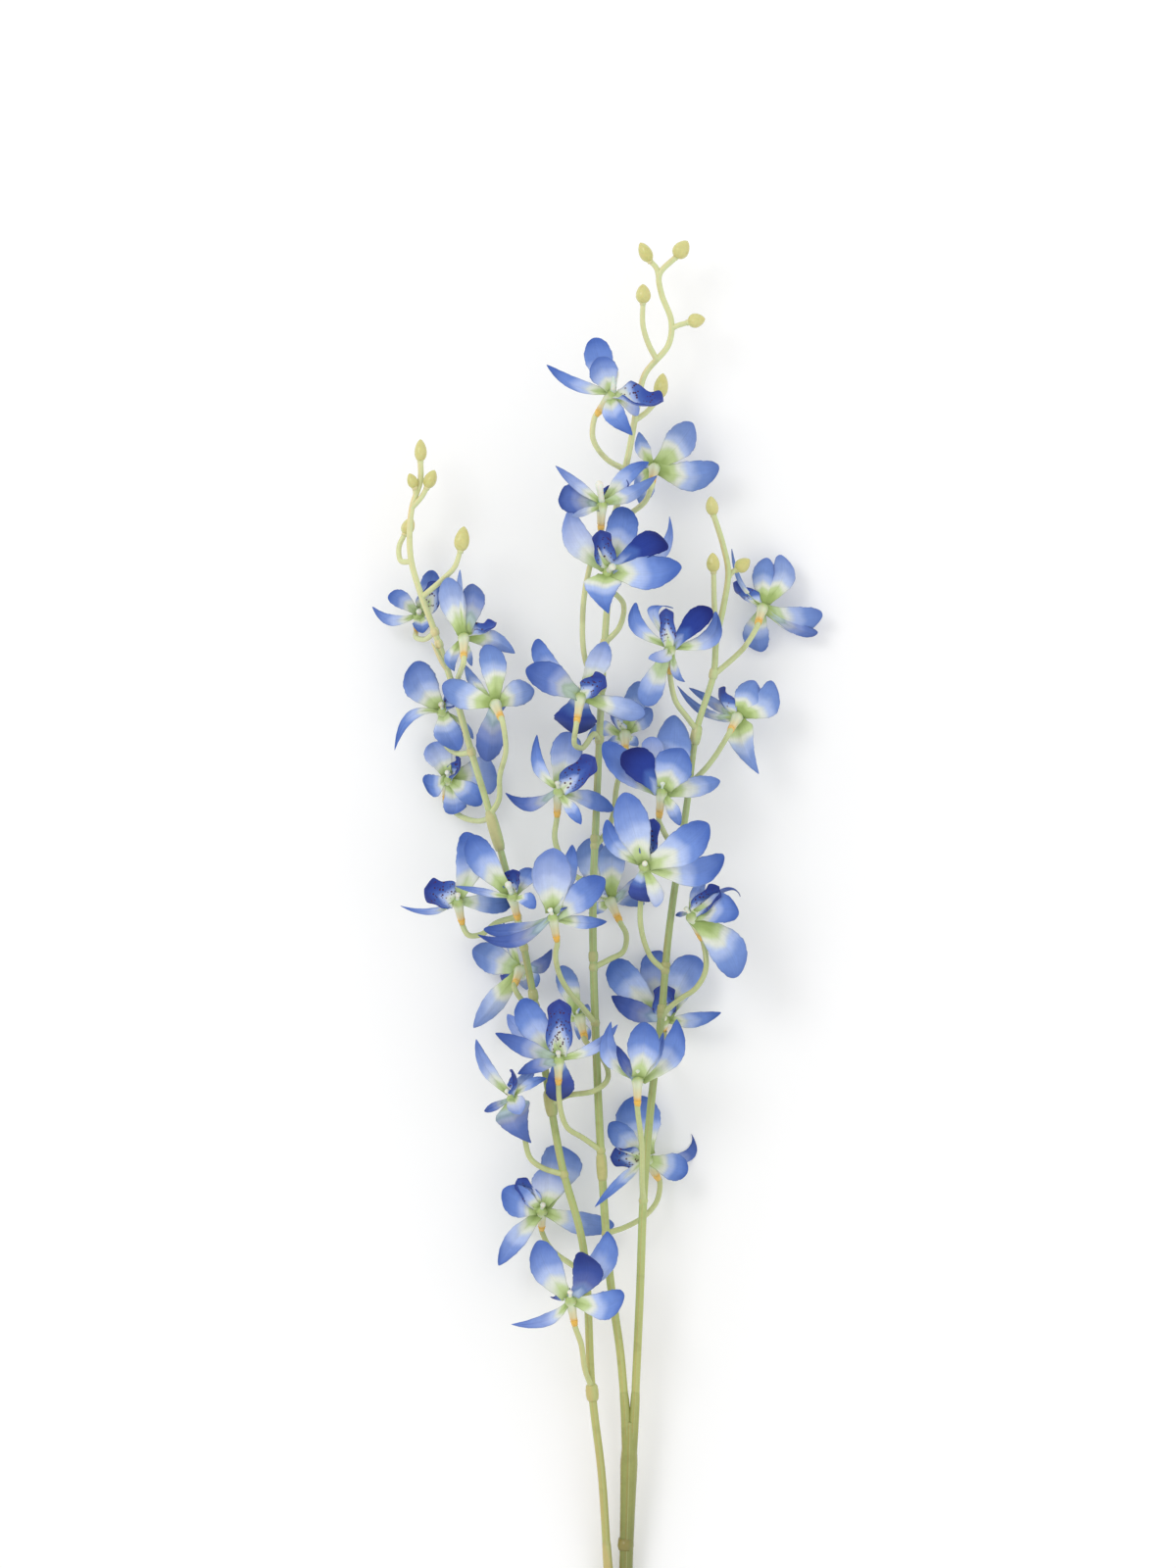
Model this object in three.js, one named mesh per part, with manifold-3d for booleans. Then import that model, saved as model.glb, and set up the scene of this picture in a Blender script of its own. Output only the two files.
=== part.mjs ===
// A spray of blue dendrobium orchids with three long branches on one cut stem, lying on a flat surface.
// Millimetres. The stem runs along +Y from its cut end to the buds, and +Z points up from the surface.
import * as THREE from 'three';
import { mergeVertices } from 'three/addons/utils/BufferGeometryUtils.js';
import Module from 'manifold-3d';

const wasm = await Module();
wasm.setup();

// Driving dimensions
const CUT_END = -104;          // where the cut end lies, along the stem
const TIP = 676;               // where the highest bud ends, along the stem
const REST_RISE = 3.3;         // height of the stem's middle above the surface at the cut end
const BRANCH_RISE = 31;        // how much higher the flowering part lies
const FLAT_RUN = 30;           // length of the cut end that lies flat on the surface
const RISE_LENGTH = 160;       // stem length over which it climbs from there
const RISE_POWER = 1.8;        // how gently the climb starts
const SEAM_GAP = 0.3;          // clearance between two pieces that meet
const STEM_RADIUS = 3.5;       // main stem at the cut end
const FORK_RADIUS = 4.5;       // main stem just under the fork
const SWELLING_START = 0.6;    // share of the main stem below the place where it thickens to the fork
const SWELLING_END = 0.875;    // and below the fork, where it narrows between the two sockets
const STEM_END_SHARE = 0.6;    // its radius at its upper end, as a share of the fork's
const RING_FOOT = 8;           // where the ring starts that the main stem's lower length is plugged in
const RING_LENGTH = 6;
const RING_EDGE = 2;           // length of the ring's thickening, and how far it stands out there
const RING_STEP = 0.7;
const RING_LIP = 0.3;          // how much less it stands out at its two ends
const BRANCH_RADIUS = 2.15;    // a branch at its foot
const BRANCH_TIP_RADIUS = 1.5; // a branch near its last bud
const SOCKET_RADIUS = 2.4;     // the short socket on the main stem that a branch comes out of
const SOCKET_FOOT_RADIUS = 3;  // the same socket where it leaves the main stem
const SOCKET_LENGTH = 8;
const STALK_RADIUS = 1.45;     // the small stalk that carries one bloom or bud
const STALK_END = 4;           // length of a stalk that runs straight into its bloom
const CALYX_LENGTH = 12;       // from the stalk to the throat of a bloom
const CALYX_FOOT_RADIUS = 2.0;
const THROAT_RADIUS = 3.3;
const THROAT_DEPTH = 0.5;      // how far below the petals' feet the calyx is widest
const SLEEVE_EDGE = 0.15;      // share of a sleeve's length in which it swells at each end
const BRACT_WIDEST = 0.4;      // where a bract is widest, as a share of its length
const STEPS_PER_POINT = 1.2;   // straight lengths that a branch has for each point of its route
const PETAL_THICKNESS = 0.7;
const THROAT_DOME = 4;         // how far the calyx domes up inside the bloom
const COLUMN_LENGTH = 5;       // of a column that the petals hide, and its radius at foot and head
const COLUMN_FOOT_RADIUS = 1.1;
const COLUMN_HEAD_RADIUS = 1.5;
const COLUMN_HEAD_PLACE = 0.8; // where it is thickest, as a share of its length
const COLUMN_THICKENING = 0.09; // how much each added millimetre of length thickens it
const COLUMN_LEAN = 0.2;       // how far the column leans away from the lip
const PETAL_ROOT = 1.5;        // how far from the bloom's axis a petal starts
const BACK_LAYER = -2.1;       // where the hindmost petal leaves the axis, ahead of the throat
const FRONT_LAYER = 0.9;       // where the foremost petal leaves it
const BLOOM_PHASE = 2.4;       // how far the wave of a petal's edge shifts from bloom to bloom, in radians
const PETAL_PHASE = 1.7;       // and from petal to petal
const PETAL_SWELL = 1.8;       // how slowly a petal widens from its foot
const WAVES = 7;               // the wave's angle over a petal's length, in radians

// Petal forms: half width as a share of the length, where it is widest, how narrow its foot is, how
// round its end is, how far its edges curve forward, and the places along it with a row of corners
const PETAL_SHAPES = {
  P: {
    half: 0.35, widest: 0.56, claw: 0.3, power: 2.1, end: 0.6, cup: 0.26, rows: [0, 0.34, 0.68, 0.9, 1],
  },
  S: { half: 0.24, widest: 0.46, claw: 0.36, power: 1.7, end: 0.8, cup: 0.24, rows: [0, 0.34, 0.7, 1] },
  T: { half: 0.5, widest: 0.22, claw: 0.5, power: 1.1, end: 0.9, cup: 0.12, rows: [0, 0.22, 0.6, 1] },
};
const PETAL_BOW = 0.07;        // how far a spread petal arches back, as a share of its length
const PETAL_RIPPLE = 0.1;      // height of the wave along its edge, as a share of its half width

// The lip: greatest half width, then shares of its length or half width
const LIP = {
  half: 5.6,
  waist: 0.66,
  sideEnd: 0.7,
  middle: 0.12,
  middleStart: 0.55,
  middleSpan: 0.55,
  curl: 1.05,
  curlStart: 0.25,
  flatten: 0.75,
  sag: 0.18,
  droop: 0.1,
  pinch: 0.3,
  rows: [0, 0.34, 0.72, 1],
};

// Radius and height along the axis of a calyx tube, of a bud as shares of its radius and length, and of a
// column of a given length
const CALYX_PROFILE = [
  [0, 0], [CALYX_FOOT_RADIUS, 0], [THROAT_RADIUS, CALYX_LENGTH - THROAT_DEPTH], [0, CALYX_LENGTH + THROAT_DOME],
];
const BUD_PROFILE = [[0, -0.06], [0.95, 0.22], [0.92, 0.55], [0, 1]];
const columnProfile = (length) => {
  const extra = COLUMN_THICKENING * (length - COLUMN_LENGTH);
  const [foot, head] = [COLUMN_FOOT_RADIUS + extra, COLUMN_HEAD_RADIUS + extra];
  return [[0, 0], [foot, 0], [head, length * COLUMN_HEAD_PLACE], [0, length]];
};

// How many sides each round form has
const SIDES = { stem: 8, socket: 6, branch: 5, stalk: 4, sleeve: 5, bud: 6, bract: 4, calyx: 4, column: 3 };

const COLOURS = { stem: '#a3ac5c', branch: '#b4bb6c', petal: '#5f7ed0' };
const STEM_ROUGHNESS = 0.45;
const PETAL_ROUGHNESS = 0.8;

// Height of a stem's middle above the surface
const rise = (y) => {
  const run = Math.max(0, (y - CUT_END - FLAT_RUN) / RISE_LENGTH);
  return REST_RISE + BRANCH_RISE * (1 - Math.exp(-(run ** RISE_POWER)));
};
const raised = ([x, y]) => new THREE.Vector3(x, y, rise(y));
const vector = ([x, y, z]) => new THREE.Vector3(x, y, z);

// The three branches seen from above, each from its foot on the main stem to its last bud
const BRANCHES = {
  centre: [
    [14.4, 88], [12.5, 109.5], [7, 150], [3, 205], [0, 270], [-1.5, 335], [0.5, 392], [3, 448],
    [5.5, 487], [9.5, 535], [17, 570], [21, 592], [25, 609], [37, 624], [38.5, 636], [33.5, 650],
    [32.5, 660], [41, 669],
  ],
  right: [
    [20.2, 88], [22.5, 140], [24.5, 192], [28.5, 240], [33.5, 282], [37, 322], [46.5, 390],
    [51.5, 427.5], [60, 456], [61.5, 474], [65, 490], [67.5, 508], [65, 521.5], [60, 537.5],
  ],
  left: [
    [8.2, -30], [6, 1.5], [3, 47], [-2, 90], [-6.5, 164], [-17, 204], [-23, 236], [-31.5, 290],
    [-41, 336], [-50, 371], [-64, 418], [-74, 453], [-83, 480], [-89, 496], [-94.5, 516], [-94, 540],
    [-89.5, 555], [-89.5, 565],
  ],
};

// Thicker sleeves where a branch is jointed: branch, place along the stem, length, radius
const SLEEVES = [
  ['centre', 205, 14, 2.8],
  ['right', 425, 9, 2.8],
  ['left', 89, 8, 3.3],
  ['left', 237, 12, 3.2],
  ['left', 376, 20, 3.1],
];

// Pointed bracts that lie along a branch: the branch, the place on it where the bract starts, its tip,
// and its radius
const BRACTS = [
  ['left', 455, [-84, 472.5, 37], 1.4],
];

// Buds: the branch and the place on it where the stalk starts (none at the branch's end), the stalk's
// route, the direction the bud points, its length and its width
const BUDS = [
  {
    branch: 'centre', from: null, stalk: [[41, 669, 34]], dir: [0.5, 0.7, 0], length: 10, width: 8.6,
  },
  {
    branch: 'centre', from: 659, stalk: [[31, 663, 34], [27.5, 667, 34.5]], dir: [-0.45, 0.85, 0.1],
    length: 10.5, width: 7,
  },
  {
    branch: 'centre', from: 633, stalk: [[42, 634, 35], [47.5, 635.5, 36]], dir: [0.95, 0.2, 0.1],
    length: 8.5, width: 7.8,
  },
  {
    branch: 'centre', from: 617, stalk: [[27, 624, 36.5], [24, 634, 37.5], [24, 645.5, 38]],
    dir: [0, 1, 0.1], length: 9.5, width: 8,
  },
  {
    branch: 'centre', from: 586, stalk: [[26, 590, 31], [32.5, 597.5, 28]], dir: [0.15, 1, 0],
    length: 12.5, width: 7.6,
  },
  {
    branch: 'right', from: null, stalk: [[60, 537.5, 34]], dir: [-0.15, 1, 0], length: 9.5, width: 6.8,
  },
  {
    branch: 'right', from: 475, stalk: [[60.5, 489, 38], [60, 508.5, 40]], dir: [-0.05, 1, 0.1],
    length: 9.5, width: 7,
  },
  {
    branch: 'right', from: 505, stalk: [[69.5, 508, 32], [72, 509.5, 31]], dir: [0.75, 0.6, -0.1],
    length: 8.5, width: 7.4,
  },
  {
    branch: 'left', from: null, stalk: [[-89.5, 565, 34]], dir: [0, 1, 0], length: 11, width: 6.6,
  },
  {
    branch: 'left', from: 548, stalk: [[-92.5, 551.5, 36]], dir: [-0.35, 0.9, 0.15], length: 7.5,
    width: 5.8,
  },
  {
    branch: 'left', from: 541, stalk: [[-88.5, 547, 36.5], [-86, 551.5, 37]], dir: [0.4, 0.9, 0.15],
    length: 9.5, width: 6.8,
  },
  {
    branch: 'left', from: 513, stalk: [[-99.5, 514, 30], [-100.5, 521, 27], [-97.5, 528, 26]],
    dir: [0.4, 0.9, 0], length: 9, width: 7,
  },
  {
    branch: 'left', from: 496, stalk: [[-79, 503.5, 39], [-72, 510.5, 41], [-69, 519, 42]],
    dir: [0.15, 1, 0], length: 12.5, width: 8,
  },
];

// Blooms: the throat's place, the direction it faces, the lip's tip from the throat, the place on the
// branch where its stalk starts, the stalk's route, and its petals: form (P broad, S narrow, T triangular),
// tip from the throat, width as a share of its form's, how far its face is turned up (or down, below 0)
// from the bloom's own direction, and how far its middle bends aside, along x and y. Where a bloom differs
// from the rest, it also has its lip's width as a share of the usual, how far the lip is turned up, and its
// column's length and lean.
const BLOOMS = [
  {
    name: 'bloom_c01', branch: 'centre', at: [8.5, 599, 58], face: [0.55, 0.75, 0.35],
    lip: [25.5, -2.5, 8], lipScale: 1.7, lipUp: 0.3, columnLength: 12, columnLean: 0.55,
    from: 561, stalk: [[5, 566, 41], [-1.5, 576, 48]],
    petals: [
      ['S', -33.5, 14, 4, 0.46, 0.6, -2, -4.5], ['P', -9.5, 28, -6, 0.71, 0.8, -1.5, 1],
      ['P', -7.5, 17.5, 9, 1.09, 0.9, -1, 1], ['S', 10, -22, 12, 0.93, 0.8, -4, 0],
      ['P', 13.5, -9, -18, 0.47, 0.7, 1, -2],
    ],
  },
  {
    name: 'bloom_c02', branch: 'centre', at: [30, 562, 30], face: [0.1, 0.6, -0.75],
    lip: [-4, 0, -20],
    from: 533, stalk: [[16, 537, 33], [25, 544, 36]],
    petals: [
      ['P', 19.5, 22.5, -8, 0.76, -0.8, 2, 0], ['P', 33, -0.5, -4, 0.7, -0.8, 1, -4.5],
      ['S', -8, 18, -16, 0.66, -0.8, -1.5, 0], ['S', -7.5, -19, -14, 0.79, -0.8, -1, -2.5],
      ['S', -10, -12, -18, 0.79, -0.8, -1.5, -0.5],
    ],
  },
  {
    name: 'bloom_c03', branch: 'centre', at: [3, 543, 56], face: [0.03, 0.95, 0.3],
    lip: [12, 13, -4], lipUp: 0.5, columnLength: 12,
    from: 449, stalk: [[-5, 462, 39], [-6.5, 490, 40], [-2, 515, 45]],
    petals: [
      ['P', -22, 1, 12, 0.93, 0.8, -3, 1.5], ['S', -23.5, 18.5, 14, 0.38, 0.8, 0, -1],
      ['S', 24, 21, -12, 0.55, 0.7, 0, 3], ['S', 28, 13.5, 10, 0.51, -0.8, -0.5, -3],
      ['S', -15.5, -7.5, 24, 0.32, -0.8, 1, -0.5],
    ],
  },
  {
    name: 'bloom_c04', branch: 'centre', at: [6.5, 508.5, 54], face: [0.15, 0.4, 0.9],
    lip: [-4, 19.5, 10], lipScale: 1.2, lipUp: 0.9, columnLength: 10,
    from: 472, stalk: [[12, 480, 36], [14, 492, 38]],
    petals: [
      ['S', -19.5, 32.5, 2, 0.82, 0.8, -6, -1], ['P', 8.5, 32.5, -12, 0.66, 0.8, 1.5, 1],
      ['S', 31, 28, -22, 0.33, 0.8, 9, -6.5], ['P', 37, 1.5, 12, 0.64, 0.8, 0, -2.5],
      ['T', 0, -22, 8, 0.92, 0.8, -3.5, 0.5], ['P', 30, 13, 15, 0.54, 0.8, 4, 6.5],
    ],
  },
  {
    name: 'bloom_c05', branch: 'centre', at: [-7.5, 445.5, 54], face: [0.15, 0.95, -0.1],
    lip: [11.5, 9, 8], lipScale: 1.2, lipUp: 0.8,
    from: 423, stalk: [[-1, 425.5, 40], [-6.7, 418.5, 45], [-10.7, 420, 49]],
    petals: [
      ['P', -28, 13, 8, 0.75, 0.8, -1, 0.5], ['P', -23, 28, -6, 0.42, 0.8, -5, 1],
      ['P', 32.5, -10, 6, 0.5, -0.8, 1.5, -1.5], ['P', -3.5, -20, -16, 1.34, -0.8, -1, -1.5],
      ['S', 12.5, 27, -12, 0.82, 0.8, 2.5, 4],
    ],
  },
  {
    name: 'bloom_c06', branch: 'centre', at: [-19, 397, 48], face: [0.05, 0.85, 0.4],
    lip: [17.5, 16, 12], lipScale: 1.4, lipUp: 0.8,
    from: 349, stalk: [[-12, 354, 35.1], [-18.5, 364, 37.1], [-21, 373, 39.1]],
    petals: [
      ['S', -11, 28, 2, 0.5, 0.8, -4, -2.5], ['P', 5, 29.5, -12, 0.74, 0.8, 1, 1.5],
      ['S', -27, -1.5, 6, 0.57, 0.8, -1.5, -7], ['S', 11.5, -17.5, 12, 0.62, 0.8, 1.5, -1.5],
      ['P', 28, -10, -12, 0.46, 0.6, 0, -0.5],
    ],
  },
  {
    name: 'bloom_c07', branch: 'centre', at: [15, 426, 18], face: [0, 0.65, -0.75],
    lip: [-6, 18, -9],
    from: 369, stalk: [[4.5, 374, 31.1], [9, 385, 29], [10.5, 398, 28], [13, 408, 28]],
    petals: [
      ['P', 7.5, 26.5, 0, 0.62, -0.8, 0.5, 0.5], ['P', 13.5, 12.5, -6, 0.83, -0.8, 1, 0],
      ['P', -19.5, -3, -8, 0.55, -0.8, -0.5, 4.5], ['S', -10, -5.5, -12, 0.63, -0.8, 0, -0.5],
      ['P', 6.5, -6.5, -12, 0.54, -0.8, 0.5, 0],
    ],
  },
  {
    name: 'bloom_c08', branch: 'centre', at: [7, 341, 14.1], face: [-0.35, 0.75, -0.5],
    lip: [-15, 11, -4],
    from: 307, stalk: [[7, 310.5, 31.2], [14, 314.5, 28.2], [15.5, 323, 24.2]],
    petals: [
      ['P', -11, 31, -4, 0.73, -0.8, -2.5, 2], ['P', 2, 29, 6, 0.7, -0.8, 0, 2],
      ['P', 20.5, 4, -6, 0.56, 0.8, 2.5, 5.5], ['S', -10.5, -7.5, -6, 1.02, -0.8, -0.5, -0.5],
      ['P', 18, -2.5, -30, 0.41, -0.8, 0.5, 2],
    ],
  },
  {
    name: 'bloom_c09', branch: 'centre', at: [-22, 333, 62.1], face: [-0.15, 0.85, 0.5],
    lip: [10, 11, -2],
    from: 278, stalk: [[-7, 286.5, 39.3], [-13.5, 294, 44.3], [-18.5, 303, 49.2], [-20.5, 313, 53.2]],
    petals: [
      ['P', 0.5, 34.5, 9, 0.83, 0.8, -1, 1], ['P', 26.5, 19, 8, 0.67, 0.8, 0.5, 0],
      ['S', -38, -9.5, 3, 0.39, 0.8, 0, -8], ['S', 27.5, -3, -9, 0.52, 0.8, 0.5, -1.5],
      ['S', 10, 36, -17, 0.47, 0.8, 2.5, 2.5], ['P', -35, -7, -6, 0.3, 0.8, 0, -3.5],
    ],
  },
  {
    name: 'bloom_c10', branch: 'left', at: [-8.5, 281, 18.3], face: [-0.2, 0.75, -0.6],
    lip: [-4, 13, -10],
    from: 237, stalk: [[-15, 241, 38.6], [-1, 243.5, 40.6], [5.8, 249, 36.6], [4.5, 258, 28.5]],
    petals: [
      ['P', -9, 26, -6, 0.59, -0.8, -0.5, 1.5], ['S', -14, 2, -12, 0.77, -0.8, 0, 0],
      ['P', 4.5, 6, -12, 0.47, -0.8, 1, 0], ['P', 5, -12, -8, 0.44, -0.8, 1, -0.5],
      ['S', 0, -12, -14, 0.61, -0.8, 0, -0.5],
    ],
  },
  {
    name: 'bloom_c11', branch: 'centre', at: [-19, 260.5, 58.5], face: [0, 0.88, 0.48],
    lip: [0.5, 29, 12], lipScale: 1.5, lipUp: 0.8,
    from: 213, stalk: [[-6.5, 219.5, 37.9], [-14.5, 225, 44.8], [-18, 234.5, 50.7]],
    petals: [
      ['P', -19, 30, -2, 0.67, 0.8, -2.5, 1], ['S', -26, 22, -22, 0.49, 0.8, -3.5, 0],
      ['S', -32, 13, 8, 0.56, 0.8, -1, -1], ['S', 30, 17, -9, 0.38, 0.8, 2.5, -3.5],
      ['S', -20.5, -7.5, 15, 0.62, 0.8, -1.5, 0], ['P', -1.5, -22, -17, 0.81, -0.8, 2, -1],
    ],
  },
  {
    name: 'bloom_c13', branch: 'centre', at: [25.5, 208.7, 17], face: [-0.45, 0.75, 0.5],
    lip: [-17.5, 1, 6], lipScale: 1.2, lipUp: 0.8,
    from: 170, stalk: [[15, 173.5, 22.7], [25, 179, 16.5], [31.5, 187, 10.4]],
    petals: [
      ['P', -5, 31.5, -10, 1.04, 0.8, -1, 1], ['P', -18.5, 18, 6, 0.7, 0.8, -1, 0.5],
      ['S', -26, -24, 31, 0.25, 0.8, -0.5, -0.5], ['P', 21.5, -7, 1, 0.98, 0.8, 1.5, -0.5],
      ['S', 23.5, 12, -32, 0.33, 0.8, 8, -6.5],
    ],
  },
  {
    name: 'bloom_r01', branch: 'right', at: [85.5, 490.7, 18], face: [0.2, 0.65, -0.72],
    lip: [-14, 13, -6],
    from: 456, stalk: [[66, 460.5, 32.5], [76, 470, 31]],
    petals: [
      ['P', 9.5, 26.5, -7, 0.65, -0.8, 5, 0.5], ['P', 30.5, -4.5, -5, 0.67, -0.8, 1, -4.5],
      ['P', -1, -23, -12, 0.8, -0.8, -3, -2], ['S', -16, 29.5, 4, 0.16, -0.8, -3, -3],
      ['P', 28, -13.5, -6, 0.3, -0.8, 3, -4], ['P', 2, 25, -4, 0.64, -0.8, -1, 1.5],
    ],
  },
  {
    name: 'bloom_r02', branch: 'right', at: [37.8, 470, 54], face: [0, 0.9, 0.4],
    lip: [-2, 18, 13], lipScale: 0.9, lipUp: 0.8,
    from: 428, stalk: [[46.5, 434, 39], [40.5, 442.5, 45]],
    petals: [
      ['P', -18, 22, 5, 0.42, 0.8, -6.5, -1.5], ['P', 1.5, 19.5, -4, 0.46, 0.8, -9.5, 7.5],
      ['P', 21, 19, 6, 0.59, 0.8, 1.5, 3], ['P', -13, -30, 6, 0.58, -0.8, -2, -4],
      ['P', -11, -6.5, 20, 0.46, 0.8, 1.5, -2.5], ['P', 23.5, 17.5, -4, 0.48, 0.8, 7.5, -5],
      ['S', 7.5, -18, 0, 0.52, -0.8, -1.5, -3],
    ],
  },
  {
    name: 'bloom_r03', branch: 'right', at: [72.6, 434.7, 32], face: [0.3, 0.55, -0.78],
    lip: [-8, 14, -12],
    from: 400, stalk: [[56, 408, 36], [62, 416, 38]],
    petals: [
      ['P', 8.5, 18, -4, 1.04, -0.8, 0, -0.5], ['P', 18, 17.5, -4, 0.84, -0.8, 4.5, -3.5],
      ['T', 10.5, -29.5, 2, 0.51, -0.8, -2.5, 0], ['S', -25, 14.5, -16, 0.36, -0.8, 0.5, -0.5],
      ['S', -15, -0.5, -24, 0.37, -0.8, 0, -0.5], ['S', -31, 15.5, -4, 0.28, -0.8, -1.5, -5.5],
    ],
  },
  {
    name: 'bloom_r04', branch: 'right', at: [33.7, 397, 54], face: [0.1, 0.9, 0.3],
    lip: [4, 14, -4],
    from: 365, stalk: [[38, 370, 40.1], [33.5, 378, 46.1]],
    petals: [
      ['P', -30, 24, 2, 0.57, 0.8, -1.5, -1.5], ['P', -20, 19, 9, 0.84, 0.8, -0.5, 3],
      ['P', 10.5, 21, 14, 1.11, 0.8, -1, -0.5], ['P', -6, 27, -6, 0.6, 0.8, -1, 4],
      ['S', 29.5, 4.5, 2, 0.78, -0.8, 3.5, 0], ['S', 9, -18, 5, 0.76, -0.8, 1, -1],
      ['P', 6.5, 38, -14, 0.65, -0.8, 2, -0.5],
    ],
  },
  {
    name: 'bloom_r05', branch: 'right', at: [24.8, 358.6, 64.1], face: [0.05, 0.45, 0.9],
    lip: [4.5, 23.5, 4], lipUp: 0.8,
    from: 305, stalk: [[29, 310.5, 36.2], [25, 318.5, 41.2], [22.5, 332, 50.1]],
    petals: [
      ['P', -10.5, 37, 4, 0.69, 0.8, -0.5, 0], ['P', 32.5, 21, 6, 0.71, 0.8, 2.5, -2],
      ['P', -19.5, 23, -5, 0.44, 0.8, -4, -2.5], ['P', 40.5, 4.5, -6, 0.51, 0.8, 3, -6.5],
      ['P', 2, -18.5, -7, 1.06, -0.8, -3, -2], ['S', 6, -21, 9, 0.73, -0.8, 2, -2],
    ],
  },
  {
    name: 'bloom_r06', branch: 'right', at: [48.2, 333.5, 46.1], face: [-0.4, 0.85, 0.3],
    lip: [13.5, 14, 10], lipScale: 1.1, lipUp: 0.8,
    from: 282, stalk: [[42.4, 290, 37.3], [51, 296, 41.3], [56, 305.5, 43.2]],
    petals: [
      ['P', 24.5, 1, 8, 0.94, 0.8, 1.5, 2.5], ['P', 24, -31.5, 2, 0.72, -0.8, 5, 0.5],
      ['S', 25.5, 9, -12, 0.18, 0.5, 4, 6.5], ['S', -7.5, -0.5, -12, 0.45, 0.8, 0, 0],
      ['S', 7.5, 17, -18, 0.56, 0.8, -0.5, 0.5],
    ],
  },
  {
    name: 'bloom_r07', branch: 'right', at: [35, 279.6, 13.6], face: [0, 0.35, 0.93],
    lip: [0, 17, 9], lipScale: 1.35, lipUp: 0.8,
    from: 256, stalk: [[33, 257.5, 19.5], [35, 262, 8.5]],
    petals: [
      ['P', -27, 29.5, 0, 0.61, 0.8, -4.5, 3], ['S', -27, 12, 8, 0.78, 0.8, -2, -1.5],
      ['S', -2.5, 35, -14, 0.8, 0.8, -4, 6.5], ['P', 17, 32, 0, 0.73, 0.8, 1, 4],
      ['S', 29, 3.5, 4, 0.57, 0.8, 0.5, -2],
    ],
  },
  {
    name: 'bloom_r08', branch: 'right', at: [21.2, 250.7, 54.6], face: [0, 0.97, 0.22],
    lip: [0, 14, -6],
    from: 187, stalk: [[23.6, 196, 38.2], [23.4, 216, 44.9]],
    petals: [
      ['S', -13.5, 28.5, 5, 0.65, 0.8, -6.5, -2.5], ['P', 3.5, 28.5, 16, 0.75, 0.8, 1, 0],
      ['S', 20, 29.5, -4, 0.75, 0.8, 6.5, -1], ['S', -10.5, 16.5, 8, 0.55, 0.8, -0.5, 0],
      ['S', 13, 23, 8, 0.39, 0.8, 2, -0.5],
    ],
  },
  {
    name: 'bloom_l01', branch: 'left', at: [-90.3, 486.7, 18], face: [0.1, 0.5, 0.85],
    lip: [10.5, 15.5, 9], lipScale: 1.3, lipUp: 0.8,
    from: 477, stalk: [[-87, 474, 24], [-92, 475, 13]],
    petals: [
      ['P', -15.5, 10, 4, 0.76, 0.8, -1, 2], ['S', -24, 4, -4, 0.53, 0.8, -1.5, -5],
      ['P', 7, 22.5, -5, 0.6, 0.8, 1, 1.5], ['P', 2, -9.5, 10, 1.03, 0.8, 0.5, -0.5],
      ['S', 5.5, -6, -19, 0.4, 0.8, 0, -1],
    ],
  },
  {
    name: 'bloom_l02', branch: 'left', at: [-67.2, 475.6, 46], face: [0, 0.78, -0.55],
    lip: [16, 8, -2], lipScale: 1.2, lipUp: 0.5,
    from: 446, stalk: [[-70.5, 453, 42]],
    petals: [
      ['P', -8.5, 29.5, -2, 0.62, -0.8, -1, 1], ['P', 4.5, 26.5, -14, 0.59, -0.8, 1.5, 2],
      ['S', 26, -9, -6, 0.74, -0.8, 1.5, 2], ['S', -5, -18, -4, 0.84, -0.8, -4, -1.5],
      ['S', 4, -15.5, -1, 0.6, -0.8, 0, -1], ['S', -2, 33.5, -5, 0.24, -0.8, -1, 1],
    ],
  },
  {
    name: 'bloom_l03', branch: 'left', at: [-51.5, 441.5, 52], face: [-0.25, 0.6, -0.75],
    lip: [2, -2, -19],
    from: 385, stalk: [[-49.5, 392, 38], [-49, 404, 45], [-45.8, 417, 55]],
    petals: [
      ['P', -26.5, 9, 2, 0.75, -0.8, -1, -1.5], ['P', -4, 29.5, -5, 0.66, -0.8, 1.5, 2.5],
      ['P', 20, 6.5, -7, 0.91, -0.8, 1, 1.5], ['P', -4, -30, -5, 0.71, -0.8, 0, -1],
      ['S', -15, 19, -20, 0.4, -0.8, -1.5, -0.5],
    ],
  },
  {
    name: 'bloom_l04', branch: 'left', at: [-78.3, 437.7, 22], face: [0, 0.8, 0.55],
    lip: [9, 8, 4],
    from: 416, stalk: [[-70, 415.5, 28], [-76, 419, 19]],
    petals: [
      ['P', -14.5, 24.5, 4, 0.95, 0.8, -3, -0.5], ['S', -24.5, -20.5, 2, 0.37, 0.8, -3.5, 7],
      ['P', 8.5, -20.5, 8, 0.92, 0.8, -2.5, 0.5], ['P', 4.5, 7.5, -13, 0.55, 0.8, 0, 0],
      ['S', 15.5, -14.5, -17, 0.41, -0.8, 2, 0],
    ],
  },
  {
    name: 'bloom_l05', branch: 'left', at: [-75.5, 403, 15], face: [0.1, 0.75, 0.65],
    lip: [5, 10, 8],
    from: 383, stalk: [[-60, 381, 25], [-70, 384, 12]],
    petals: [
      ['P', -8.5, 18, -3, 1.12, 0.8, 0, 1.5], ['P', 17, -13.5, 7, 0.78, 0.8, 1, 0],
      ['P', 25, -1.5, -3, 1.17, 0.8, 2.5, 2], ['P', -13, -1, 3, 1.41, 0.8, 0, -4],
      ['P', 2.5, -18.5, 2, 1.06, 0.8, 2, -2],
    ],
  },
  {
    name: 'bloom_l06', branch: 'left', at: [-70.5, 340.5, 46.1], face: [-0.15, 0.75, 0.6],
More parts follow.
